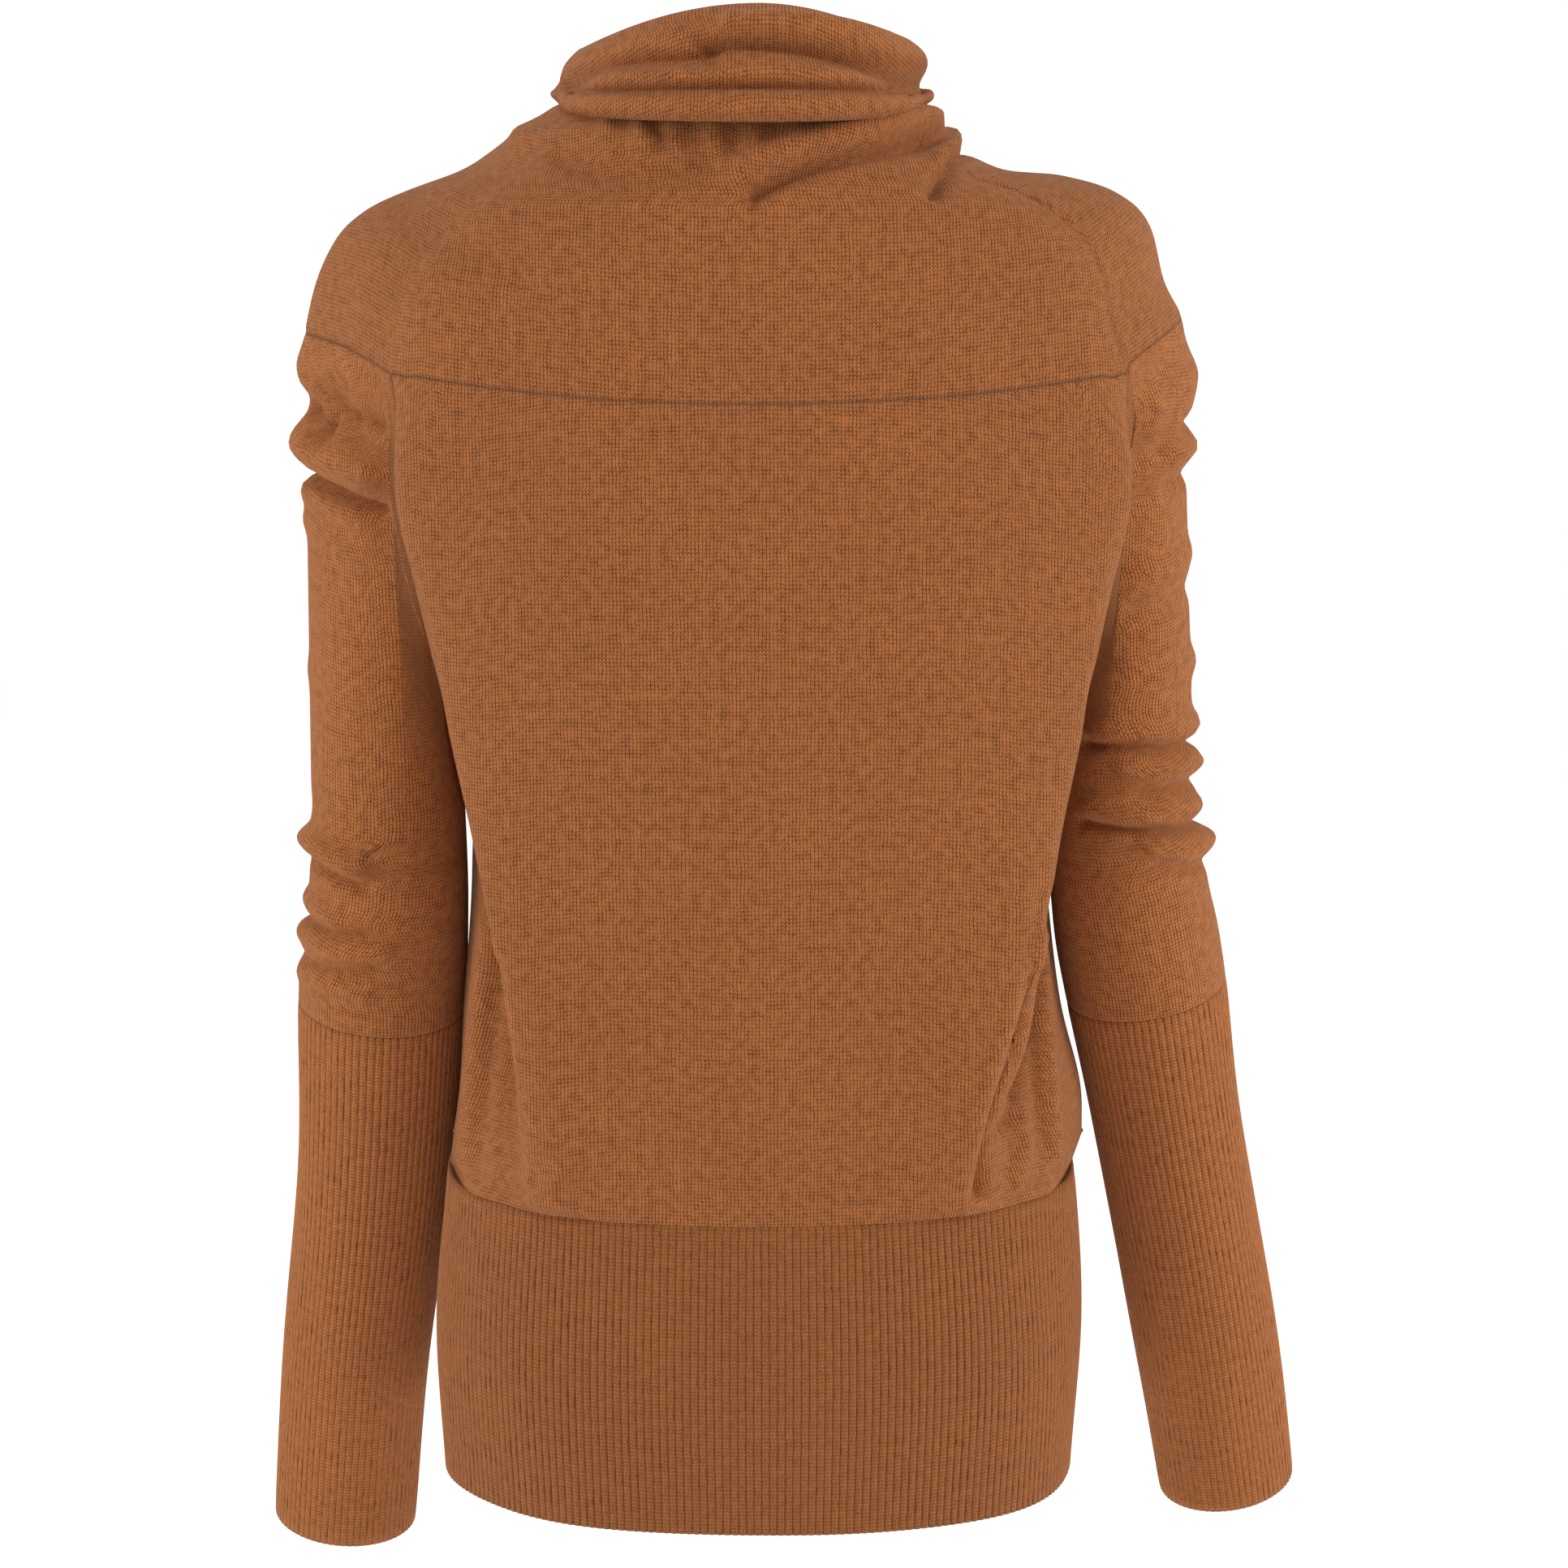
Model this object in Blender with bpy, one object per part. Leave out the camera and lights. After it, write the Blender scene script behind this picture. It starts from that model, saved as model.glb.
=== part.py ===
# A draped funnel-neck sweater in fine knit, worn with nobody in it.
# Metres, +Z up. The wearer faces -Y, so the back is at +Y and the wearer's left is at +X.
# The origin lies between the shoulders, level with the foot of the neck, where the wearer carries it.

import math
from collections import namedtuple

import bmesh
import bpy
import numpy as np

# Driving sizes
WALL = 0.0022
SEAM_GAP = 0.0003
RIB_PITCH = 0.0037
RIB_RAISE = 0.0009
BAND_TOP = -0.525
BAND_BOTTOM = -0.690
BAND_SQUARENESS = 2.3
UNDERARM = -0.262
YOKE_LINE = -0.111
YOKE_BOW = 0.009
BOW_DEPTH = 0.060
BOW_HALF_WIDTH = 0.165
BOW_END = 0.176
BOW_FADE = 0.010
NECK_HEIGHT = 0.024
NECK_SLOPE = 0.10

# How finely each piece is cut into rows and columns
COLLAR_COLUMNS = 38
YOKE_ROWS = 7
CAP_STEPS = 8
INNER_SHARE = 4

CLOTH_COLOUR = (0.296, 0.105, 0.036, 1.0)
CLOTH_ROUGHNESS = 0.93


# Curves and tables

def through(places, values, where):
    """A smooth curve through the values at rising places, read where asked."""
    places = np.asarray(places, float)
    values = np.asarray(values, float)
    where = np.clip(np.asarray(where, float), places[0], places[-1])
    slopes = np.gradient(values, places, axis=0)
    low = np.clip(np.searchsorted(places, where, side="right") - 1, 0, len(places) - 2)
    step = places[low + 1] - places[low]
    t = (where - places[low]) / step
    t = t.reshape(t.shape + (1,) * (values.ndim - 1))
    step = step.reshape(t.shape)
    start = (1 + 2 * t) * (1 - t) ** 2 * values[low] + t * (1 - t) ** 2 * step * slopes[low]
    end = t * t * (3 - 2 * t) * values[low + 1] - t * t * (1 - t) * step * slopes[low + 1]
    return start + end


def column(table, name):
    return np.array([getattr(row, name) for row in table])


def read(table, key, name, where):
    """One column of a table as a smooth function of another."""
    return through(column(table, key), column(table, name), where)


def unit(vectors):
    return vectors / np.maximum(np.linalg.norm(vectors, axis=-1, keepdims=True), 1e-9)


# Folds: soft ridges and troughs, drawn on the cloth as it is seen from the back or the front

Fold = namedtuple("Fold", "side x0 z0 x1 z1 x2 z2 width height sag")
FOLD_STEPS = 12


def fold_line(fold):
    """Points along a fold, which runs from its first place by its second to its third."""
    t = np.linspace(0, 1, FOLD_STEPS + 1)[:, None]
    a, b, c = np.array([[fold.x0, fold.z0], [fold.x1, fold.z1], [fold.x2, fold.z2]])
    middle = 2 * b - (a + c) / 2
    return (1 - t) ** 2 * a + 2 * t * (1 - t) * middle + t * t * c


def nearness(points, fold):
    """1 on the fold's line, falling to 0 within about two widths of it and towards its ends."""
    line = fold_line(fold)
    flat = points[..., [0, 2]]
    best = np.full(flat.shape[:-1], np.inf)
    for a, b in zip(line[:-1], line[1:]):
        d = b - a
        t = np.clip(((flat - a) @ d) / max(d @ d, 1e-12), 0, 1)
        best = np.minimum(best, np.linalg.norm(flat - a - t[..., None] * d, axis=-1))
    return np.exp(-((best / fold.width) ** 2))


def folded(points, folds, closed):
    """The points moved out along their normals on ridges, in on troughs, and down where a fold sags."""
    normals = grid_normals(points, closed)
    moved = points.copy()
    for fold in folds:
        facing = {"back": normals[..., 1], "front": -normals[..., 1]}.get(fold.side)
        share = 1.0 if facing is None else np.clip(facing * 2 + 0.6, 0, 1)
        amount = (nearness(points, fold) * share)[..., None]
        moved += normals * amount * fold.height
        moved[..., 2] -= amount[..., 0] * fold.sag
    return moved


def grid_normals(points, closed):
    """Outward normals of a grid whose rows run up the cloth and whose columns run round it."""
    along = np.gradient(points, axis=0)
    if closed:
        round_it = (np.roll(points, -1, axis=1) - np.roll(points, 1, axis=1)) / 2
    else:
        round_it = np.gradient(points, axis=1)
    return unit(np.cross(round_it, along))


# Body: back and front panels, between the rib band and the yoke.
# A row for each height. The edge is the side seam and, above the underarm, the armhole.
# Behind the arm the cloth hangs past it in a straight fold, which is the plane's turn.

Side = namedtuple(
    "Side",
    "z edge_x edge_y edge_z pleat_x pleat_y tuck_x tuck_y turn_x turn_y plane_x plane_y",
)
LEFT_BACK = [
    Side(-0.510, 0.1615, -0.003, -0.510, 0.149, 0.053, 0.1235, 0.081, 0.1155, 0.094, 0.104, 0.102),
    Side(-0.490, 0.1585, -0.003, -0.490, 0.148, 0.050, 0.1225, 0.076, 0.118, 0.0985, 0.106, 0.108),
    Side(-0.440, 0.1550, -0.003, -0.440, 0.144, 0.044, 0.118, 0.067, 0.1225, 0.098, 0.112, 0.109),
    Side(-0.385, 0.1505, -0.003, -0.385, 0.142, 0.032, 0.123, 0.061, 0.1315, 0.095, 0.1215, 0.105),
    Side(-0.330, 0.1480, -0.003, -0.330, 0.142, 0.026, 0.134, 0.056, 0.1420, 0.088, 0.132, 0.101),
    Side(-0.275, 0.1425, -0.003, -0.273, 0.142, 0.025, 0.148, 0.052, 0.1535, 0.083, 0.143, 0.097),
    Side(-0.262, 0.1455, -0.003, -0.262, 0.1445, 0.028, 0.151, 0.055, 0.1555, 0.084, 0.145, 0.097),
    Side(-0.240, 0.152, 0.035, -0.243, 0.155, 0.052, 0.160, 0.069, 0.160, 0.084, 0.149, 0.096),
    Side(-0.205, 0.161, 0.056, -0.205, 0.166, 0.066, 0.169, 0.077, 0.165, 0.087, 0.153, 0.095),
    Side(-0.157, 0.172, 0.068, -0.155, 0.1775, 0.075, 0.176, 0.0825, 0.166, 0.089, 0.150, 0.096),
    Side(-0.111, 0.180, 0.072, -0.102, 0.174, 0.079, 0.165, 0.0855, 0.153, 0.0925, 0.135, 0.100),
]
RIGHT_BACK = [
    Side(-0.510, 0.1690, -0.003, -0.510, 0.151, 0.053, 0.124, 0.081, 0.1135, 0.0945, 0.100, 0.103),
    Side(-0.490, 0.1685, -0.003, -0.490, 0.151, 0.050, 0.126, 0.077, 0.116, 0.099, 0.103, 0.109),
    Side(-0.440, 0.1568, -0.003, -0.440, 0.146, 0.046, 0.126, 0.069, 0.133, 0.098, 0.121, 0.109),
    Side(-0.385, 0.1495, -0.003, -0.385, 0.141, 0.032, 0.130, 0.061, 0.1410, 0.095, 0.130, 0.105),
    Side(-0.330, 0.1450, -0.003, -0.330, 0.140, 0.026, 0.141, 0.056, 0.1490, 0.088, 0.138, 0.101),
    Side(-0.275, 0.140, -0.003, -0.273, 0.141, 0.025, 0.151, 0.053, 0.1595, 0.083, 0.149, 0.096),
    Side(-0.262, 0.1425, -0.003, -0.262, 0.144, 0.028, 0.154, 0.056, 0.161, 0.084, 0.151, 0.096),
    Side(-0.240, 0.153, 0.035, -0.243, 0.158, 0.052, 0.164, 0.069, 0.1655, 0.084, 0.154, 0.095),
    Side(-0.205, 0.165, 0.055, -0.205, 0.170, 0.065, 0.1735, 0.077, 0.169, 0.087, 0.156, 0.095),
    Side(-0.157, 0.176, 0.067, -0.155, 0.1815, 0.074, 0.180, 0.082, 0.169, 0.089, 0.152, 0.096),
    Side(-0.111, 0.181, 0.070, -0.097, 0.175, 0.077, 0.166, 0.0845, 0.154, 0.0915, 0.136, 0.0995),
]

Front = namedtuple("Front", "z edge_x edge_y edge_z flank_x flank_y corner_x corner_y")
FRONT_SIDE = [
    Front(-0.510, 0.1610, -0.003, -0.510, 0.156, -0.048, 0.137, -0.086),
    Front(-0.490, 0.158, -0.003, -0.490, 0.152, -0.048, 0.139, -0.088),
    Front(-0.440, 0.154, -0.003, -0.440, 0.149, -0.048, 0.139, -0.090),
    Front(-0.370, 0.141, -0.003, -0.370, 0.140, -0.048, 0.136, -0.093),
    Front(-0.316, 0.140, -0.003, -0.316, 0.140, -0.048, 0.136, -0.094),
    Front(-0.275, 0.141, -0.003, -0.273, 0.141, -0.048, 0.140, -0.097),
    Front(-0.262, 0.145, -0.003, -0.262, 0.144, -0.050, 0.142, -0.098),
    Front(-0.240, 0.152, -0.040, -0.243, 0.153, -0.068, 0.145, -0.100),
    Front(-0.205, 0.161, -0.060, -0.205, 0.161, -0.080, 0.149, -0.102),
    Front(-0.157, 0.170, -0.070, -0.155, 0.166, -0.084, 0.150, -0.099),
    Front(-0.111, 0.178, -0.074, -0.108, 0.166, -0.085, 0.147, -0.097),
]

Middle = namedtuple("Middle", "z back front")
MIDDLE = [
    Middle(-0.510, 0.1152, -0.1195),
    Middle(-0.490, 0.1175, -0.124),
    Middle(-0.440, 0.1205, -0.129),
    Middle(-0.370, 0.121, -0.135),
    Middle(-0.316, 0.123, -0.141),
    Middle(-0.262, 0.126, -0.147),
    Middle(-0.205, 0.128, -0.145),
    Middle(-0.157, 0.1275, -0.136),
    Middle(-0.111, 0.125, -0.124),
]
MIDWAY_IN = 0.005

BACK_FOLDS = [
    # Pleats over the band at the wearer's right, then the blouson's soft creases
    Fold("back", -0.118, -0.455, -0.120, -0.485, -0.128, -0.515, 0.006, -0.0045, 0),
    Fold("back", -0.140, -0.400, -0.144, -0.450, -0.150, -0.510, 0.006, 0.004, 0),
    Fold("back", -0.128, -0.470, -0.134, -0.490, -0.137, -0.512, 0.005, 0.003, 0),
    Fold("back", 0.134, -0.390, 0.142, -0.450, 0.147, -0.512, 0.006, 0.004, 0),
]
FRONT_FOLDS = [
    Fold("front", -0.110, -0.420, -0.118, -0.470, -0.112, -0.510, 0.010, 0.004, 0),
    Fold("front", -0.085, -0.455, -0.078, -0.485, -0.074, -0.515, 0.009, -0.0035, 0),
    Fold("front", -0.020, -0.440, -0.030, -0.480, -0.028, -0.512, 0.011, 0.003, 0),
    Fold("front", 0.045, -0.460, 0.040, -0.490, 0.044, -0.515, 0.009, -0.003, 0),
    Fold("front", 0.100, -0.400, 0.112, -0.455, 0.108, -0.510, 0.011, 0.0045, 0),
    Fold("front", -0.120, -0.150, -0.075, -0.175, -0.020, -0.178, 0.014, 0.004, 0.001),
    Fold("front", 0.115, -0.160, 0.065, -0.190, 0.015, -0.196, 0.014, 0.004, 0.001),
]

# The shares of a panel's height and width over which its folds fade out
FADE_BELOW = 0.06
FADE_ABOVE = 0.12
FADE_SIDE = 0.05

# Knots place the columns of points across a panel: the edge, its pleat, tuck and turn, then the flat plane
BACK_KNOTS = [0, 2, 4, 6, 8, 12, 15, 18, 22, 24, 26, 28, 30]
BACK_COLUMNS = np.arange(0, 31)
FRONT_KNOTS = [0, 3, 6, 9.5, 13, 16, 19]
FRONT_COLUMNS = np.linspace(0, 19, 21)
HEIGHTS_BELOW = [-0.518, -0.505, -0.484, -0.455, -0.420, -0.380, -0.340, -0.305, -0.275]
HEIGHTS_ABOVE = [UNDERARM, -0.240, -0.215, -0.188, -0.160, -0.134, YOKE_LINE]


def band_ring(angle, half_width, back, front, height):
    """Points of a level ring of the body, square-shouldered in plan, at angles from +X."""
    c = np.cos(angle)
    s = np.sin(angle)
    power = 2 / BAND_SQUARENESS
    depth = np.where(s > 0, back, -front)
    x = half_width * np.sign(c) * np.abs(c) ** power
    y = depth * np.sign(s) * np.abs(s) ** power
    return np.stack([x, y, np.full_like(x, height)], axis=-1)


BAND_HALF_WIDTH = 0.1635
BAND_BACK = 0.1140
BAND_FRONT = -0.1165
BACK_ANGLES = [0, 26, 42, 49, 55, 74.5, 90]
FRONT_ANGLES = [0, 24, 48, 90]


def back_heights():
    return np.array([BAND_TOP] + HEIGHTS_BELOW + HEIGHTS_ABOVE)


def back_controls(height):
    """The places that the back panel passes through at one height, from the wearer's right to the left."""
    if height <= BAND_TOP:
        angles = np.radians(BACK_ANGLES)
        half = band_ring(angles, BAND_HALF_WIDTH, BAND_BACK, BAND_FRONT, BAND_TOP)
        return np.concatenate([(half * [-1, 1, 1])[:-1], half[::-1]])
    middle = read(MIDDLE, "z", "back", height)
    halves = []
    for table, sign in ((RIGHT_BACK, -1), (LEFT_BACK, 1)):
        got = {name: float(read(table, "z", name, height)) for name in Side._fields[1:]}
        points = [(got["edge_x"], got["edge_y"], got["edge_z"])]
        points += [(got[n + "_x"], got[n + "_y"], height) for n in ("pleat", "tuck", "turn", "plane")]
        points += [(got["plane_x"] / 2, float(middle) - MIDWAY_IN, height)]
        halves.append(np.array(points) * [sign, 1, 1])
    centre = np.array([[0, float(middle), height]])
    return np.concatenate([halves[0], centre, halves[1][::-1]])


def front_controls(height):
    """The places that the front panel passes through at one height, from the wearer's left to the right."""
    if height <= BAND_TOP:
        angles = np.radians(FRONT_ANGLES)
        half = band_ring(-angles, BAND_HALF_WIDTH, BAND_BACK, BAND_FRONT, BAND_TOP)
        return np.concatenate([half, (half * [-1, 1, 1])[:-1][::-1]])
    middle = float(read(MIDDLE, "z", "front", height))
    halves = []
    for back, sign in ((LEFT_BACK, 1), (RIGHT_BACK, -1)):
        got = {name: float(read(FRONT_SIDE, "z", name, height)) for name in Front._fields[1:]}
        shared = height <= UNDERARM + 1e-6
        edge = [float(read(back if shared else FRONT_SIDE, "z", "edge_" + axis, height)) for axis in "xyz"]
        points = [edge, (got["flank_x"], got["flank_y"], height), (got["corner_x"], got["corner_y"], height)]
        halves.append(np.array(points) * [sign, 1, 1])
    centre = np.array([[0, middle, height]])
    return np.concatenate([halves[0], centre, halves[1][::-1]])


def bow(points):
    """The yoke's seam rises from the spine to the armholes, and the rows just below it follow."""
    near = np.clip((points[..., 2] - YOKE_LINE) / BOW_DEPTH + 1, 0, 1)
    across = np.clip(np.abs(points[..., 0]) / BOW_HALF_WIDTH, 0, 1)
    inner = np.clip((BOW_END - np.abs(points[..., 0])) / BOW_FADE, 0, 1)
    return YOKE_BOW * near * across ** 2 * inner * (points[..., 1] > 0)


def fade(share, start, end):
    """0 at both ends of a piece and 1 between, reached within the given shares of its length."""
    return np.clip(share / start, 0, 1) * np.clip((1 - share) / end, 0, 1)


def panel(controls, knots, columns, folds):
    """A panel's grid of points. Its folds fade out before the seams, so that the seams still meet."""
    rows = [through(knots, controls(height), columns) for height in back_heights()]
    plain = np.array(rows)
    plain[..., 2] += bow(plain)
    moved = folded(plain[:, ::-1], folds, False)[:, ::-1]
    rise = np.linspace(0, 1, plain.shape[0])[:, None, None]
    across = np.linspace(0, 1, plain.shape[1])[None, :, None]
    inside = fade(rise, FADE_BELOW, FADE_ABOVE) * fade(across, FADE_SIDE, FADE_SIDE)
    return plain + (moved - plain) * inside


# Yoke: one piece round the shoulders, from the neck seam to the line where body and sleeves join it

Cap = namedtuple("Cap", "part x y z")
LEFT_CAP = [
    Cap("back corner", 0.180, 0.072, -0.102),
    Cap("behind the arm", 0.204, 0.046, -0.092),
    Cap("shoulder", 0.229, 0.003, -0.089),
    Cap("before the arm", 0.207, -0.046, -0.096),
    Cap("front corner", 0.178, -0.074, -0.108),
]
RIGHT_CAP = [
    Cap("back corner", -0.181, 0.070, -0.097),
    Cap("behind the arm", -0.202, 0.042, -0.085),
    Cap("shoulder", -0.212, 0.003, -0.081),
    Cap("before the arm", -0.201, -0.044, -0.091),
    Cap("front corner", -0.178, -0.074, -0.108),
]

# How the yoke falls from the neck: the share of its way out against the share of its drop
Slope = namedtuple("Slope", "row left_out left_down right_out right_down spine_out spine_down")
YOKE_SLOPE = [
    Slope(0.00, 0.00, 0.00, 0.00, 0.00, 0.00, 0.00),
    Slope(0.14, 0.18, 0.14, 0.12, 0.16, 0.14, 0.10),
    Slope(0.28, 0.36, 0.28, 0.27, 0.30, 0.36, 0.23),
    Slope(0.44, 0.60, 0.38, 0.53, 0.34, 0.58, 0.38),
    Slope(0.60, 0.77, 0.48, 0.74, 0.42, 0.76, 0.55),
    Slope(0.76, 0.88, 0.61, 0.87, 0.58, 0.89, 0.72),
    Slope(0.88, 0.95, 0.78, 0.925, 0.83, 0.96, 0.87),
    Slope(1.00, 1.00, 1.00, 1.00, 1.00, 1.00, 1.00),
]
YOKE_WIDTH = 0.215
YOKE_DEPTH = 0.125
YOKE_FADE_TOP = 0.17
YOKE_FADE_BELOW = 0.25
YOKE_FOLDS = [
    Fold("back", -0.100, 0.006, -0.060, 0.003, -0.015, -0.016, 0.008, 0.004, 0),
    Fold("back", -0.085, -0.006, -0.050, -0.010, -0.010, -0.026, 0.007, -0.004, 0),
    Fold("any", -0.118, -0.002, -0.106, 0.000, -0.094, -0.012, 0.008, 0.003, 0),
    Fold("back", 0.170, -0.030, 0.140, -0.040, 0.115, -0.050, 0.012, -0.004, 0),
    Fold("front", 0.100, -0.015, 0.060, -0.045, 0.010, -0.055, 0.010, 0.004, 0.001),
    Fold("front", -0.100, -0.020, -0.060, -0.055, -0.010, -0.070, 0.010, 0.004, 0.001),
]

# Collar: a tall tube turned down on itself. A row for each ring, from the neck seam up, over and down.

Ring = namedtuple("Ring", "name left right back front z_back z_side z_front")
COLLAR_RINGS = [
    Ring("seam", 0.100, 0.083, 0.088, 0.088, 0.0328, 0.024, 0.0152),
    Ring("inside", 0.093, 0.076, 0.083, 0.088, 0.052, 0.037, 0.027),
    Ring("inner turn", 0.084, 0.069, 0.080, 0.090, 0.069, 0.046, 0.035),
    Ring("top", 0.0875, 0.0725, 0.086, 0.098, 0.0755, 0.0515, 0.040),
    Ring("outer turn", 0.0935, 0.0765, 0.096, 0.107, 0.070, 0.0475, 0.033),
    Ring("outside", 0.1015, 0.0805, 0.106, 0.118, 0.046, 0.036, 0.012),
    Ring("free edge", 0.1055, 0.0875, 0.111, 0.124, 0.0235, 0.0270, -0.014),
]
COLLAR_PLACES = [0, 2, 3.6, 4.7, 5.8, 8.6, 11]
COLLAR_ROWS = np.concatenate([np.linspace(0, 4, 4), np.linspace(4.9, 11, 10)])
COLLAR_OUTSIDE = 4.7
COLLAR_FADE = 1.5
COLLAR_FOLDS = [
    Fold("back", 0.035, 0.056, -0.030, 0.055, -0.080, 0.032, 0.0065, -0.0065, 0),
    Fold("back", 0.105, 0.030, 0.070, 0.044, 0.020, 0.050, 0.0060, -0.0030, 0),
    Fold("back", 0.090, 0.028, 0.000, 0.031, -0.085, 0.028, 0.0070, 0.0030, 0),
    Fold("front", 0.085, 0.030, 0.030, 0.004, -0.060, 0.014, 0.0080, -0.0060, 0),
    Fold("front", -0.075, 0.034, -0.020, 0.022, 0.050, 0.026, 0.0070, 0.0040, 0),
]


def ring_points(ring, angle):
    """A ring of the collar or neck at angles from +X, with its own reach on each side."""
    c = np.cos(angle)
    s = np.sin(angle)
    x = np.where(c > 0, ring.left, ring.right) * c
    y = np.where(s > 0, ring.back, ring.front) * s
    z = ring.z_side + np.where(s > 0, ring.z_back - ring.z_side, ring.z_front - ring.z_side) * s * s
    return np.stack([x, y, z], axis=-1)


def neck_points(angle):
    points = ring_points(COLLAR_RINGS[0], angle)
    points[..., 2] = NECK_HEIGHT + NECK_SLOPE * points[..., 1]
    return points


def cap_points(table):
    """The line where the sleeve's head joins the yoke, from the back corner to the front corner."""
    corners = np.array([[row.x, row.y, row.z] for row in table])
    return through(np.arange(len(table)), corners, np.linspace(0, len(table) - 1, CAP_STEPS + 1))


def yoke_grid(back, front):
    """The yoke's points, from its lower edge up to the neck."""
    left = cap_points(LEFT_CAP)
    right = cap_points(RIGHT_CAP)[::-1]
    # Seen from above, the columns run anticlockwise from the left front corner
    lower = np.concatenate([left[::-1][:-1], back[-1][::-1][:-1], right[::-1][:-1], front[-1][::-1][:-1]])
    angle = np.arctan2(lower[:, 1] / YOKE_DEPTH, lower[:, 0] / YOKE_WIDTH)
    neck = neck_points(angle)
    rows = np.linspace(1, 0, YOKE_ROWS + 1)
    shares = {"spine": np.sin(angle) ** 2}
    shares["left"] = np.where(np.cos(angle) > 0, 1 - shares["spine"], 0)
    shares["right"] = np.where(np.cos(angle) > 0, 0, 1 - shares["spine"])
    out = sum(np.outer(read(YOKE_SLOPE, "row", k + "_out", rows), v) for k, v in shares.items())
    down = sum(np.outer(read(YOKE_SLOPE, "row", k + "_down", rows), v) for k, v in shares.items())
    out, down = out[..., None], down[..., None]
    way = (lower - neck)[None]
    plain = neck[None] + np.concatenate([way[..., :2] * out, way[..., 2:] * down], axis=-1)
    moved = folded(plain, YOKE_FOLDS, True)
    inside = fade(rows, YOKE_FADE_TOP, YOKE_FADE_BELOW)
    return plain + (moved - plain) * inside[:, None, None]


def collar_grid():
    angle = np.linspace(0, 2 * math.pi, COLLAR_COLUMNS, endpoint=False)
    rings = np.array([ring_points(ring, angle) for ring in COLLAR_RINGS])
    rings[0] = neck_points(angle)
    plain = through(COLLAR_PLACES, rings, COLLAR_ROWS)
    # The turned-down side faces the other way round the rings, so it is folded with its columns reversed
    moved = folded(plain[:, ::-1], COLLAR_FOLDS, True)[:, ::-1]
    outside = np.clip((COLLAR_ROWS - COLLAR_OUTSIDE) / COLLAR_FADE, 0, 1)
    return plain + (moved - plain) * outside[:, None, None]


# Sleeves and cuffs: rings square to the arm's line. The wearer's arms hang, bent a little forward.

Arm = namedtuple("Arm", "along x y z half_width half_depth")
LEFT_ARM = [
    Arm(0.0, 0.1925, 0.002, -0.330, 0.0385, 0.0370),
    Arm(0.5, 0.1940, -0.004, -0.385, 0.0405, 0.0370),
    Arm(1.0, 0.2000, -0.019, -0.443, 0.0428, 0.0370),
    Arm(1.25, 0.2052, -0.038, -0.506, 0.0415, 0.0363),
    Arm(1.5, 0.2120, -0.055, -0.570, 0.0400, 0.0355),
    Arm(1.75, 0.2240, -0.077, -0.660, 0.0385, 0.0345),
    Arm(2.0, 0.2345, -0.100, -0.762, 0.0382, 0.0335),
]
RIGHT_ARM = [
    Arm(0.0, -0.1868, 0.002, -0.330, 0.0362, 0.0365),
    Arm(0.5, -0.1922, -0.003, -0.380, 0.0400, 0.0365),
    Arm(1.0, -0.2025, -0.015, -0.434, 0.0412, 0.0365),
    Arm(1.25, -0.2150, -0.032, -0.500, 0.0388, 0.0360),
    Arm(1.5, -0.2310, -0.052, -0.580, 0.0378, 0.0355),
    Arm(1.75, -0.2460, -0.070, -0.660, 0.0374, 0.0345),
    Arm(2.0, -0.2590, -0.088, -0.736, 0.0362, 0.0335),
]
HEAD_SHARES = [0, 0.055, 0.11, 0.16, 0.21, 0.26, 0.33, 0.42, 0.55, 0.70, 0.85]
FOREARM_ROWS = 8
CUFF_ROWS = 4
SLEEVE_FADE_BELOW = 0.10
SLEEVE_FADE_ABOVE = 0.08
ARCH_EASE = 7
LATE_EASE = 1.6
DRAW_IN = 0.5
UNDERARM_EASE = 0.018

LEFT_SLEEVE_FOLDS = [
    # The slack of the sleeve's head drops in two rolls, and the elbow creases
    Fold("any", 0.250, -0.112, 0.225, -0.116, 0.205, -0.110, 0.011, 0.0085, 0),
    Fold("any", 0.250, -0.132, 0.225, -0.137, 0.205, -0.128, 0.006, -0.005, 0),
    Fold("any", 0.250, -0.145, 0.225, -0.152, 0.195, -0.160, 0.009, 0.0085, 0.003),
    Fold("any", 0.245, -0.166, 0.220, -0.172, 0.195, -0.181, 0.006, -0.003, 0),
    Fold("any", 0.245, -0.348, 0.225, -0.351, 0.205, -0.358, 0.006, 0.006, 0.001),
    Fold("any", 0.245, -0.402, 0.220, -0.404, 0.200, -0.400, 0.006, 0.003, 0),
]
RIGHT_SLEEVE_FOLDS = [
    Fold("any", -0.235, -0.114, -0.215, -0.120, -0.200, -0.134, 0.020, 0.007, 0),
    Fold("any", -0.240, -0.156, -0.222, -0.158, -0.210, -0.160, 0.007, 0.006, 0),
    Fold("any", -0.245, -0.310, -0.205, -0.302, -0.165, -0.300, 0.007, 0.005, 0.001),
    Fold("any", -0.245, -0.320, -0.215, -0.318, -0.190, -0.317, 0.004, -0.003, 0),
    Fold("any", -0.245, -0.334, -0.205, -0.336, -0.165, -0.332, 0.007, 0.005, 0.001),
    Fold("any", -0.250, -0.362, -0.220, -0.360, -0.200, -0.358, 0.007, 0.005, 0.001),
]


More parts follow.
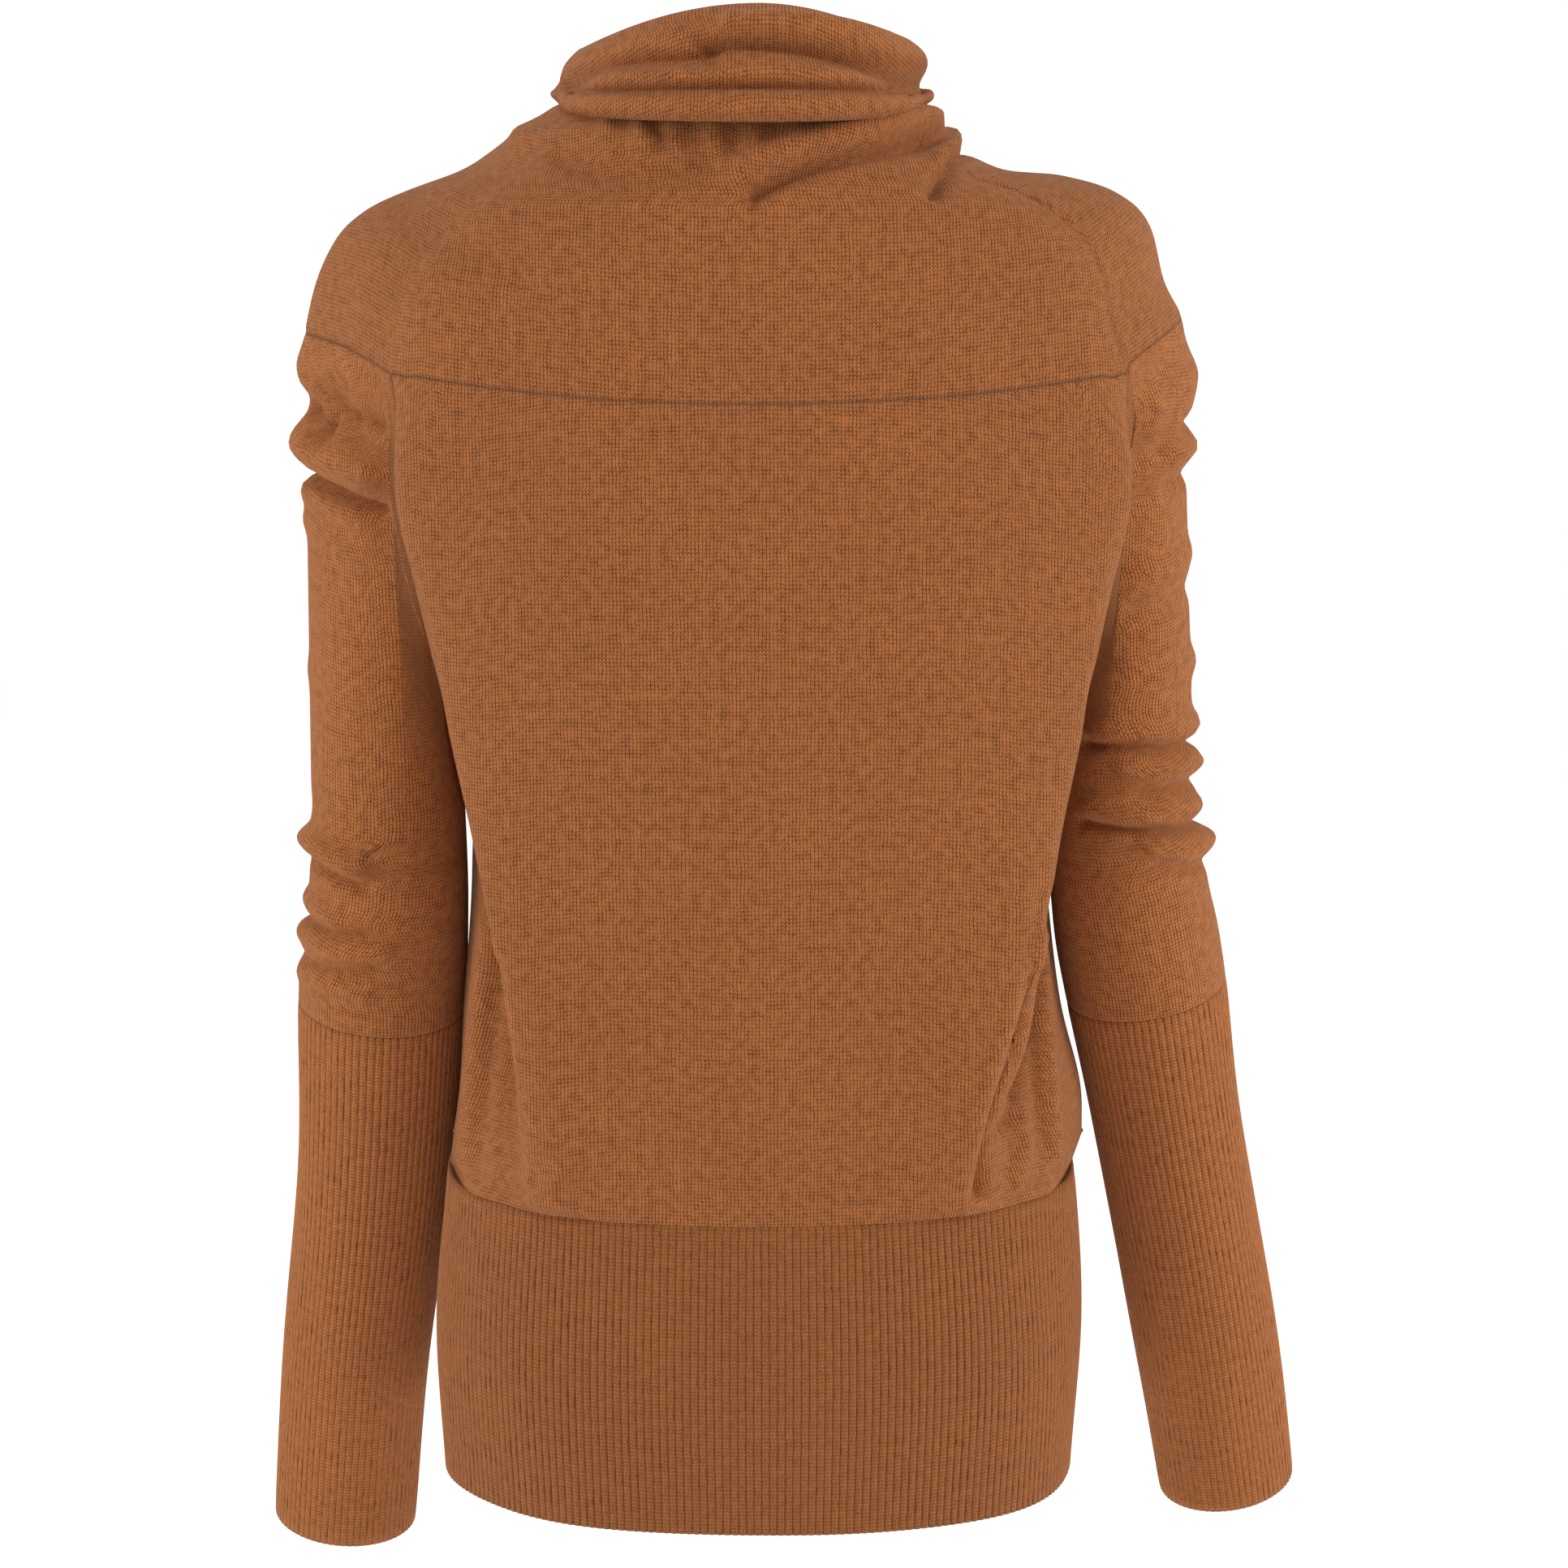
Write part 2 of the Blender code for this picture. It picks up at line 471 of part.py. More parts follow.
def arm_frames(table, along):
    """Centres, sideways and depth directions, tangents and reaches of the arm's rings."""
    centres = np.stack([read(table, "along", axis, along) for axis in "xyz"], axis=-1)
    ahead = np.stack([read(table, "along", axis, along + 0.01) for axis in "xyz"], axis=-1)
    behind = np.stack([read(table, "along", axis, along - 0.01) for axis in "xyz"], axis=-1)
    tangent = unit(ahead - behind)
    outward = np.array([math.copysign(1, table[0].x), 0, 0])
    sideways = unit(outward - (tangent @ outward)[:, None] * tangent)
    depth = np.cross(tangent, sideways)
    depth = depth * np.sign(depth[:, 1:2])
    return centres, sideways, depth, tangent


def arm_rings(table, along, angle):
    """Rings of the arm. Angle 0 is the outer side and a quarter turn is the back."""
    centres, sideways, depth, tangent = arm_frames(table, along)
    half_width = read(table, "along", "half_width", along)[:, None, None]
    half_depth = read(table, "along", "half_depth", along)[:, None, None]
    c = np.cos(angle)[None, :, None]
    s = np.sin(angle)[None, :, None]
    return centres[:, None] + half_width * c * sideways[:, None] + half_depth * s * depth[:, None]


def armhole(cap, back, front, left):
    """The armhole, from the shoulder round by the back, the underarm and the front, and each point's angle."""
    above = len(HEIGHTS_ABOVE)
    side = -1 if left else 0
    front_side = 0 if left else -1
    down_back = back[-above:, side][::-1]
    up_front = front[-above:, front_side]
    shoulder = CAP_STEPS // 2
    to_back = cap[:shoulder + 1][::-1]
    from_front = cap[shoulder:][::-1]
    loop = np.concatenate([to_back[:-1], down_back[:-1], up_front[:-1], from_front[:-1]])
    steps = [shoulder, above - 1, above - 1, shoulder]
    turns = [0, 112, 180, 248, 360]
    angle = np.concatenate([
        np.linspace(a, b, n, endpoint=False) for a, b, n in zip(turns[:-1], turns[1:], steps)
    ])
    return loop, np.radians(angle)


def sleeve_grid(table, loop, angle, folds):
    """The sleeve's points, from its cuff seam up to the armhole."""
    share = np.array(HEAD_SHARES)[:, None]
    first = arm_rings(table, np.array([0.0]), angle)
    way = first - loop[None]
    head = loop[None] + way * share[..., None]
    # The underarm is an arch, which the sleeve leaves sideways before it falls, drawing in clear of the body
    inner = np.clip(-np.cos(angle), 0, 1)[None]
    outward = way[..., 0] * math.copysign(1, table[0].x) > 0
    early = 1 - (1 - share) ** ARCH_EASE
    late = share ** LATE_EASE
    head[..., 0] += way[..., 0] * (np.where(outward, early, late) - share) * inner
    head[..., 0] += math.copysign(UNDERARM_EASE, table[0].x) * np.sqrt(share) * (1 - share) * inner
    head[..., 1] += way[..., 1] * (share ** (1 - DRAW_IN * np.abs(np.sin(angle))[None]) - share)
    fore = arm_rings(table, np.linspace(0, 1, FOREARM_ROWS + 1), angle)
    plain = np.concatenate([head, fore])[::-1]
    moved = folded(plain, folds, True)
    rise = np.linspace(0, 1, len(plain))[:, None, None]
    return plain + (moved - plain) * fade(rise, SLEEVE_FADE_BELOW, SLEEVE_FADE_ABOVE)


# Walls: each piece is a closed skin round its cloth's middle surface

def quads(bm, grid, closed, flip):
    """Faces over a grid of vertices. Flip turns them round, for a wall's inner skin."""
    rows, columns = len(grid), len(grid[0])
    for i in range(rows - 1):
        for j in range(columns if closed else columns - 1):
            k = (j + 1) % columns
            corners = [grid[i][j], grid[i][k], grid[i + 1][k], grid[i + 1][j]]
            bm.faces.new(corners[::-1] if flip else corners)


def rim(bm, outer, inner, closed):
    """Triangles between a skin's edge and the other skin's, which may have fewer points."""
    many, few = len(outer) - (not closed), len(inner) - (not closed)
    if many == few:
        for i in range(many):
            k = (i + 1) % len(outer)
            a, b, c, d = outer[i], inner[i], inner[k], outer[k]
            # Both pieces at a seam split a twisted strip the same way, by its shorter diagonal
            across = (a.co - c.co).length < (b.co - d.co).length
            bm.faces.new([a, b, c] if across else [a, b, d])
            bm.faces.new([a, c, d] if across else [b, c, d])
        return
    i = j = 0
    while i < many or j < few:
        a, b = outer[i % len(outer)], inner[j % len(inner)]
        if j == few or (i < many and (i + 1) * few <= (j + 1) * many):
            bm.faces.new([a, b, outer[(i + 1) % len(outer)]])
            i += 1
        else:
            bm.faces.new([a, b, inner[(j + 1) % len(inner)]])
            j += 1


def add_piece(name, outer, inner, closed):
    """A named solid between an outer and an inner grid of points."""
    bm = bmesh.new()
    skins = []
    for grid, flip in ((outer, False), (inner, True)):
        vertices = [[bm.verts.new(point) for point in row] for row in grid]
        quads(bm, vertices, closed, flip)
        skins.append(vertices)
    outside, inside = skins
    rim(bm, outside[0], inside[0], closed)
    rim(bm, outside[-1], inside[-1], closed)
    if not closed:
        rim(bm, [row[0] for row in outside], [row[0] for row in inside], False)
        rim(bm, [row[-1] for row in outside], [row[-1] for row in inside], False)
    bmesh.ops.recalc_face_normals(bm, faces=bm.faces)
    if bm.calc_volume(signed=True) < 0:
        bmesh.ops.reverse_faces(bm, faces=bm.faces)
    mesh = bpy.data.meshes.new(name)
    bm.to_mesh(mesh)
    bm.free()
    mesh.shade_smooth()
    mesh.set_sharp_from_angle(angle=math.radians(50))
    mesh.materials.append(cloth_material(name))
    piece = bpy.data.objects.new(name, mesh)
    sweater.objects.link(piece)
    return piece


def cloth_material(name):
    material = bpy.data.materials.new(name + "_knit")
    material.use_nodes = True
    shader = material.node_tree.nodes["Principled BSDF"]
    shader.inputs["Base Color"].default_value = CLOTH_COLOUR
    shader.inputs["Roughness"].default_value = CLOTH_ROUGHNESS
    shader.inputs["Metallic"].default_value = 0.0
    return material


def drawn_in(grid, normals, closed):
    """The grid with its edges drawn in by half a seam's gap, square to the wall's direction there."""
    def toward(near, far, normal):
        way = far - near
        return unit(way - (way * normal).sum(axis=-1, keepdims=True) * normal) * SEAM_GAP / 2

    moved = grid.copy()
    moved[-1] += toward(grid[-1], grid[-2], normals[-1])
    moved[0] += toward(grid[0], grid[1], normals[0])
    if not closed:
        moved[:, 0] += toward(grid[:, 0], grid[:, 1], normals[:, 0])
        moved[:, -1] += toward(grid[:, -1], grid[:, -2], normals[:, -1])
    return moved


def boundary(grid, closed):
    """The index of each point on a grid's edges."""
    rows, columns = grid.shape[:2]
    found = [(i, j) for i in (0, rows - 1) for j in range(columns)]
    if not closed:
        found += [(i, j) for j in (0, columns - 1) for i in range(1, rows - 1)]
    return found


def shared_normals(pieces):
    """Normals of each piece, made the same where pieces meet, so that their edges lie face to face."""
    normals = {name: grid_normals(grid, closed) for name, (grid, closed) in pieces.items()}
    at_place = {}
    for name, (grid, closed) in pieces.items():
        for i, j in boundary(grid, closed):
            place = tuple(np.round(grid[i, j], 5))
            at_place.setdefault(place, []).append((name, i, j))
    for members in at_place.values():
        together = unit(sum(normals[name][i, j] for name, i, j in members))
        for name, i, j in members:
            normals[name][i, j] = together
    return normals


# Rib band at the hem: a level ring for each row

Band = namedtuple("Band", "z half_width back front")
BAND_SECTIONS = [
    Band(BAND_BOTTOM, 0.1655, 0.1130, -0.1150),
    Band(-0.610, 0.1695, 0.1150, -0.1175),
    Band(BAND_TOP, BAND_HALF_WIDTH, BAND_BACK, BAND_FRONT),
]
BAND_RIBS = 232


def band_rings(angle):
    return np.array([
        band_ring(angle, row.half_width, row.back, row.front, row.z) for row in BAND_SECTIONS
    ])


def level_normals(rings):
    """Normals that lie in the rings' own planes, for rings that are level."""
    def normals(angle):
        points = rings(angle)
        round_it = np.roll(points, -1, axis=1) - np.roll(points, 1, axis=1)
        level = np.zeros(points.shape[:2])
        return unit(np.stack([round_it[..., 1], -round_it[..., 0], level], axis=-1))
    return normals


def even_angles(rings, count):
    """Angles that space a ring's points evenly along its length."""
    dense = np.linspace(0, 2 * math.pi, 1441)
    points = rings(dense)[0]
    length = np.concatenate([[0], np.cumsum(np.linalg.norm(np.diff(points, axis=0), axis=1))])
    return np.interp(np.linspace(0, length[-1], count, endpoint=False), length, dense)


def build():
    back = panel(back_controls, BACK_KNOTS, BACK_COLUMNS, BACK_FOLDS)
    front = panel(front_controls, FRONT_KNOTS, FRONT_COLUMNS, FRONT_FOLDS)
    pieces = {"back_panel": (back[:, ::-1], False), "front_panel": (front[:, ::-1], False)}
    pieces["yoke"] = (yoke_grid(back, front), True)
    arms = {}
    for side, table, cap, folds in (
        ("left", LEFT_ARM, LEFT_CAP, LEFT_SLEEVE_FOLDS),
        ("right", RIGHT_ARM, RIGHT_CAP, RIGHT_SLEEVE_FOLDS),
    ):
        loop, angle = armhole(cap_points(cap), back, front, side == "left")
        turn = 1 if side == "left" else -1
        pieces["sleeve_" + side] = (sleeve_grid(table, loop[::turn], angle[::turn], folds), True)
        arms[side] = table
    normals = shared_normals(pieces)

    # Seams that lie in one plane get their wall's direction in that plane
    for name in ("back_panel", "front_panel"):
        flat = normals[name][0] * [1, 1, 0]
        normals[name][0] = unit(flat)
    for side, table in arms.items():
        tangent = arm_frames(table, np.array([1.0]))[3][0]
        seam = normals["sleeve_" + side][0]
        normals["sleeve_" + side][0] = unit(seam - (seam @ tangent)[:, None] * tangent)
    neck_plane = unit(np.array([0, -NECK_SLOPE, 1.0]))
    seam = normals["yoke"][-1]
    radial = pieces["yoke"][0][-1] * [1, 1, 0]
    radial = radial - (radial @ neck_plane)[:, None] * neck_plane
    normals["yoke"][-1] = unit(radial)

    for name, (grid, closed) in pieces.items():
        drawn = drawn_in(grid, normals[name], closed)
        if name == "yoke":
            drawn[-1] = grid[-1] - neck_plane * SEAM_GAP / 2
        wall = normals[name] * WALL / 2
        add_piece(name, drawn + wall, drawn - wall, closed)

    collar = collar_grid()
    collar_normals = grid_normals(collar, True)
    radial = collar[0] * [1, 1, 0]
    radial = radial - (radial @ neck_plane)[:, None] * neck_plane
    collar_normals[0] = unit(radial)
    collar[0] += neck_plane * SEAM_GAP / 2
    add_piece("collar", collar + collar_normals * WALL / 2, collar - collar_normals * WALL / 2, True)

    ribs_at = even_angles(band_rings, BAND_RIBS * 2)
    plain_at = ribs_at[::INNER_SHARE]
    raise_it = np.where(np.arange(BAND_RIBS * 2) % 2 == 0, RIB_RAISE, 0)[None, :, None]
    normals_of = level_normals(band_rings)
    outer = band_rings(ribs_at) + normals_of(ribs_at) * (WALL / 2 + raise_it - RIB_RAISE / 2)
    inner = band_rings(plain_at) - normals_of(plain_at) * WALL / 2
    outer[-1, :, 2] -= SEAM_GAP / 2
    inner[-1, :, 2] -= SEAM_GAP / 2
    add_piece("hem_band", outer, inner, True)

    for side, table in arms.items():
        along = np.linspace(2, 1, CUFF_ROWS + 1)
        girth = 2 * math.pi * (table[2].half_width + table[2].half_depth) / 2
        ribs = 2 * round(girth / RIB_PITCH / 2)
        centres, sideways, depth, tangent = arm_frames(table, along)

        def skin(count, out, raised):
            angle = np.linspace(0, 2 * math.pi, count, endpoint=False)
            if side == "right":
                angle = -angle
            ring = arm_rings(table, along, angle)
            away = unit(ring - centres[:, None])
            lift = np.where(np.arange(count) % 2 == 0, raised / 2, -raised / 2)[None, :, None]
            made = ring + away * (out + lift)
            made[-1] += tangent[-1] * SEAM_GAP / 2
            return made

        add_piece(
            "cuff_" + side,
            skin(ribs * 2, WALL / 2, RIB_RAISE),
            skin(ribs * 2 // INNER_SHARE, -WALL / 2, 0),
            True,
        )


for old in list(bpy.data.objects):
    bpy.data.objects.remove(old, do_unlink=True)
sweater = bpy.data.collections.new("sweater")
bpy.context.scene.collection.children.link(sweater)
build()
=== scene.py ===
# The looks of a draped funnel-neck sweater in fine camel knit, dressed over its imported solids.
# Metres, +Z up, the wearer facing -Y: the view is of the sweater's back.

import math
from collections import namedtuple
from functools import partial

import bmesh
import bpy
import numpy as np
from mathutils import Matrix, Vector


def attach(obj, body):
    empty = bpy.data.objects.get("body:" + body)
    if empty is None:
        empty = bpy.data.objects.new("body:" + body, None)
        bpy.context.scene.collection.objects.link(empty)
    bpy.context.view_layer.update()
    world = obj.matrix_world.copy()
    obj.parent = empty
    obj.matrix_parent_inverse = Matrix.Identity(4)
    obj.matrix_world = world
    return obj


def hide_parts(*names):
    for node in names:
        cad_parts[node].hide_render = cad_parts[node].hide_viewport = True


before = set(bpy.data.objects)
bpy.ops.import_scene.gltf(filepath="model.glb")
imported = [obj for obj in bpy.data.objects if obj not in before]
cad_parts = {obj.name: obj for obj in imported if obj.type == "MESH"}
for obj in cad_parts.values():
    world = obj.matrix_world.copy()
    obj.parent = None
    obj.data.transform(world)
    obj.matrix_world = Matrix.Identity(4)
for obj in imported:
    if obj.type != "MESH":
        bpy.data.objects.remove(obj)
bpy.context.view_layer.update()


# Camera: a long lens at the height of the neck, looking a little down on the back.
# It is aimed at the middle of the sweater, level with the elbows.
SIGHT = Vector((-0.0122, 0.0, -0.3228))
STAND_OFF = 2.15
LOOK_DOWN = math.radians(12)
LENS = 95.4


def add_object(name, data):
    thing = bpy.data.objects.new(name, data)
    bpy.context.scene.collection.objects.link(thing)
    return thing


def aim(thing, place):
    """Puts a camera or a lamp at a place, looking at the middle of the sweater."""
    thing.location = place
    thing.rotation_euler = (SIGHT - thing.location).to_track_quat("-Z", "Y").to_euler()


camera_data = bpy.data.cameras.new("camera")
camera_data.lens = LENS
camera_data.sensor_width = 36
camera = add_object("camera", camera_data)
aim(camera, SIGHT + STAND_OFF * Vector((0, math.cos(LOOK_DOWN), math.sin(LOOK_DOWN))))
bpy.context.scene.camera = camera


# Floor, backdrop and light: a pale sweep of paper, and three large soft lamps.
# The floor is where the wearer would stand, so that no shadow of the sweater falls near it.
FLOOR = -1.35
SWEEP_HALF_WIDTH = 9.0
SWEEP_PROFILE = [(9.0, 0), (-3.2, 0), (-4.2, 0.25), (-4.8, 1.0), (-5.0, 2.2), (-5.0, 9.0)]
PAPER = (0.93, 0.925, 0.915, 1)
PAPER_GLOW = 0.38

bm = bmesh.new()
profile = [bm.verts.new((-SWEEP_HALF_WIDTH, y, FLOOR + z)) for y, z in SWEEP_PROFILE]
edges = [bm.edges.new(pair) for pair in zip(profile[:-1], profile[1:])]
swept = bmesh.ops.extrude_edge_only(bm, edges=edges)["geom"]
bmesh.ops.translate(
    bm, verts=[g for g in swept if isinstance(g, bmesh.types.BMVert)], vec=(2 * SWEEP_HALF_WIDTH, 0, 0)
)
bmesh.ops.recalc_face_normals(bm, faces=bm.faces)
sweep_mesh = bpy.data.meshes.new("paper_sweep")
bm.to_mesh(sweep_mesh)
bm.free()
sweep_mesh.shade_smooth()
paper = bpy.data.materials.new("paper")
paper.use_nodes = True
gloss = paper.node_tree.nodes["Principled BSDF"].inputs
gloss["Base Color"].default_value = PAPER
gloss["Roughness"].default_value = 0.9
gloss["Emission Color"].default_value = PAPER
gloss["Emission Strength"].default_value = PAPER_GLOW
sweep_mesh.materials.append(paper)
sweep = add_object("paper_sweep", sweep_mesh)

Lamp = namedtuple("Lamp", "name place size watts")
LAMPS = [
    Lamp("left_softbox", (2.9, 0.75, 0.5), 1.2, 45),
    Lamp("right_softbox", (-2.9, 0.70, 0.7), 1.2, 56),
    Lamp("top_softbox", (0.0, 1.8, 2.4), 1.4, 29),
]
SKY = 0.39
for lamp in LAMPS:
    light = bpy.data.lights.new(lamp.name, "AREA")
    light.size = lamp.size
    light.energy = lamp.watts
    aim(add_object(lamp.name, light), lamp.place)
world = bpy.data.worlds.new("studio")
world.use_nodes = True
sky = world.node_tree.nodes["Background"].inputs
sky["Color"].default_value = (1, 1, 1, 1)
sky["Strength"].default_value = SKY
bpy.context.scene.world = world
bpy.context.scene.view_settings.view_transform = "Standard"


# Back panel: stocking-stitch cloth, knitted flat and linked to the yoke, the sleeves, the front and the rib.
# It hangs full and loose, in straight folds behind the arms, and pleats over the rib at its lower corners.
WALL = 0.0022
SINK = 0.0009
STITCH_WIDTH = 0.0018
STITCH_HEIGHT = 0.0019
RIB_PITCH = 0.0037
RIB_RAISE = 0.0009
# The two ends of the colour mix, reached by the yarn's own heather and by the painted shade of the gutters
# and painted light on the stitch tops
DARK_YARN_AND_GUTTER_SHADE = (0.098, 0.028, 0.0070, 1)
LIGHT_YARN_AND_STITCH_LIGHT = (0.445, 0.152, 0.0450, 1)
SEAM_SHADOW = (0.075, 0.024, 0.008, 1)
NAP = {
    "Roughness": 0.92,
    "Specular IOR Level": 0.18,
    "Sheen Weight": 0.14,
    "Sheen Roughness": 0.45,
    "Sheen Tint": (1.0, 0.78, 0.55, 1),
}
MIDTONE = 0.55
RELIEF_STRENGTH = 0.75
# Features to a metre of cloth: uneven stitches, fibres, clouds of the yarn and broad shades
UNEVEN_SCALE = 95.0
FIBRE_SCALE = 1500.0
CLOUD_SCALE = 210.0
SHADE_SCALE = 14.0
# The reach of a seam's shadow, and the place and reach of the row of eyelets beside it
SEAM_REACH = 0.0011
SEAM_SHARE = 0.5
EYELET_DROP = 0.0012
EYELET_REACH = 0.0013
EYELET_SHADE = 0.38
EYELET_SEAM = 0.05
# How far from an edge the cloth starts to sink into its seam, and the distance of a plain edge from any
SINK_REACH = 0.0024
NO_SEAM = 1.0


def socket(tree, node, name, value):
    """Gives a node's socket a value or another node's output."""
    if isinstance(value, bpy.types.NodeSocket):
        tree.links.new(value, node.inputs[name])
    else:
        node.inputs[name].default_value = value


def maths(tree, operation, *values):
    node = tree.nodes.new("ShaderNodeMath")
    node.operation = operation
    for place, value in enumerate(values):
        socket(tree, node, place, value)
    return node.outputs[0]


def noise(tree, vector, scale, detail):
    node = tree.nodes.new("ShaderNodeTexNoise")
    socket(tree, node, "Vector", vector)
    socket(tree, node, "Scale", scale)
    socket(tree, node, "Detail", detail)
    return node.outputs["Fac"]


def blended(tree, share, first, second, kind="MIX"):
    node = tree.nodes.new("ShaderNodeMix")
    node.data_type = "RGBA"
    node.blend_type = kind
    socket(tree, node, 0, share)
    socket(tree, node, 6, first)
    socket(tree, node, 7, second)
    return node.outputs[2]


def separated(tree, vector):
    node = tree.nodes.new("ShaderNodeSeparateXYZ")
    socket(tree, node, 0, vector)
    return node.outputs


def uv_map(tree, name):
    node = tree.nodes.new("ShaderNodeUVMap")
    node.uv_map = name
    return node.outputs[0]


def grouped(tree, group, **values):
    node = tree.nodes.new("ShaderNodeGroup")
    node.node_tree = group
    for title, value in values.items():
        socket(tree, node, title, value)
    return node.outputs


def new_group(name, inputs, outputs):
    group = bpy.data.node_groups.new(name, "ShaderNodeTree")
    for title, kind in inputs:
        group.interface.new_socket(title, in_out="INPUT", socket_type=kind)
    for title, kind in outputs:
        group.interface.new_socket(title, in_out="OUTPUT", socket_type=kind)
    return group, group.nodes.new("NodeGroupInput").outputs, group.nodes.new("NodeGroupOutput").inputs


# Each stitch is a V of two yarn legs, with sunk gutters between the columns of stitches. The relief is also
# painted into the tone: painted shade in the gutters and painted light on the legs.
stitches, given, wanted = new_group(
    "stitches",
    [("Cloth", "NodeSocketVector"), ("Width", "NodeSocketFloat"), ("Height", "NodeSocketFloat")],
    [("Relief", "NodeSocketFloat"), ("Heather and stitch shade", "NodeSocketFloat")],
)
sums = partial(maths, stitches)
parts = separated(stitches, given["Cloth"])
unevenness = sums("SUBTRACT", noise(stitches, given["Cloth"], UNEVEN_SCALE, 2.0), 0.5)
across = sums("DIVIDE", parts["X"], given["Width"])
across = sums("MULTIPLY_ADD", unevenness, 0.9, across)
along = sums("DIVIDE", parts["Y"], given["Height"])
along = sums("MULTIPLY_ADD", unevenness, -0.8, along)
place = sums("FRACT", across)
from_middle = sums("ABSOLUTE", sums("MULTIPLY_ADD", place, 2.0, -1.0))
leaning = sums("FRACT", sums("MULTIPLY_ADD", from_middle, 0.55, along))
legs = sums("SINE", sums("MULTIPLY", leaning, math.pi))
column_top = sums("SUBTRACT", 1.0, sums("POWER", from_middle, 3.0))
near_middle = sums("SUBTRACT", 1.0, from_middle)
furrow = sums("MULTIPLY", sums("POWER", near_middle, 4.0), 0.3)
relief = sums("MULTIPLY", column_top, sums("MULTIPLY_ADD", legs, 0.55, 0.45))
relief = sums("SUBTRACT", relief, furrow)
stitches.links.new(relief, wanted["Relief"])
fibres = sums("SUBTRACT", noise(stitches, given["Cloth"], FIBRE_SCALE, 3.0), 0.5)
clouds = sums("SUBTRACT", noise(stitches, given["Cloth"], CLOUD_SCALE, 4.0), 0.5)
# Painted shade and light: the stitches' relief darkens the gutters and lightens the legs, on top of the
# yarn's own fibres and clouds
heather_and_stitch_shade = sums("MULTIPLY_ADD", relief, 1.0, 0.06)
heather_and_stitch_shade = sums("MULTIPLY_ADD", fibres, 1.5, heather_and_stitch_shade)
heather_and_stitch_shade = sums("MULTIPLY_ADD", clouds, 0.80, heather_and_stitch_shade)
stitches.links.new(heather_and_stitch_shade, wanted["Heather and stitch shade"])

# A seam is a fine sunk line, and its stitching shadows the cloth on either side
seam_line, given, wanted = new_group(
    "seam line",
    [("Seams", "NodeSocketVector"), ("Reach", "NodeSocketFloat")],
    [("Line", "NodeSocketFloat")],
)
sums = partial(maths, seam_line)
parts = separated(seam_line, given["Seams"])
nearest = sums("MINIMUM", parts["X"], parts["Y"])
nearest = sums("DIVIDE", nearest, given["Reach"])
line = sums("MAXIMUM", sums("SUBTRACT", 1.0, nearest), 0.0)
seam_line.links.new(line, wanted["Line"])


def knit_material(name, relief_depth, contrast, painted_light=1.0, width=STITCH_WIDTH, eyelets=None):
    """Camel yarn with a soft nap, in stitches of a given width. Eyelets are a row of dots below an edge."""
    material = bpy.data.materials.new(name + "_knit")
    material.use_nodes = True
    tree = material.node_tree
    sums = partial(maths, tree)
    shader = tree.nodes["Principled BSDF"]
    cloth = uv_map(tree, "cloth")
    seams = uv_map(tree, "seams")
    knit = grouped(tree, stitches, Cloth=cloth, Width=width, Height=STITCH_HEIGHT)
    dark = grouped(tree, seam_line, Seams=seams, Reach=SEAM_REACH)["Line"]
    if eyelets:
        turn = sums("MULTIPLY", separated(tree, cloth)["X"], 2 * math.pi / eyelets)
        dots = sums("POWER", sums("MULTIPLY_ADD", sums("COSINE", turn), 0.5, 0.5), 2.0)
        off = sums("ABSOLUTE", sums("SUBTRACT", separated(tree, seams)["X"], EYELET_DROP))
        row = sums("SUBTRACT", 1.0, sums("DIVIDE", off, EYELET_REACH))
        row = sums("MAXIMUM", row, 0.0)
        dots = sums("MULTIPLY", sums("MULTIPLY", row, dots), EYELET_SHADE)
        dark = sums("MAXIMUM", sums("MULTIPLY", dark, EYELET_SEAM), dots)
    heather_and_stitch_shade = sums("MULTIPLY_ADD", knit["Heather and stitch shade"], contrast, MIDTONE * (1 - contrast))
    colour = blended(tree, heather_and_stitch_shade, DARK_YARN_AND_GUTTER_SHADE, LIGHT_YARN_AND_STITCH_LIGHT)
    # Broad random mottling of the yarn, scaled by each piece's painted light: the sleeves are painted
    # lighter and the hem band darker than the panels
    wide = noise(tree, cloth, SHADE_SCALE, 3.0)
    mottling_and_painted_light = sums("MULTIPLY_ADD", wide, 0.20 * painted_light, 0.90 * painted_light)
    grey = tree.nodes.new("ShaderNodeCombineColor")
    for channel in range(3):
        socket(tree, grey, channel, mottling_and_painted_light)
    colour = blended(tree, 1.0, colour, grey.outputs[0], "MULTIPLY")
    colour = blended(tree, sums("MULTIPLY", dark, SEAM_SHARE), colour, SEAM_SHADOW)
    tree.links.new(colour, shader.inputs["Base Color"])
    bump = tree.nodes.new("ShaderNodeBump")
    socket(tree, bump, "Strength", RELIEF_STRENGTH)
    socket(tree, bump, "Distance", relief_depth)
    socket(tree, bump, "Height", sums("SUBTRACT", knit["Relief"], dark))
    tree.links.new(bump.outputs[0], shader.inputs["Normal"])
    for title, value in NAP.items():
        socket(tree, shader, title, value)
    return material


def lengths(points, axis):
    """Distance run along each line of a grid, from its first point."""
    steps = np.linalg.norm(np.diff(points, axis=axis), axis=-1)
    start = np.zeros_like(np.take(steps, [0], axis=axis))
    return np.concatenate([start, np.cumsum(steps, axis=axis)], axis=axis)


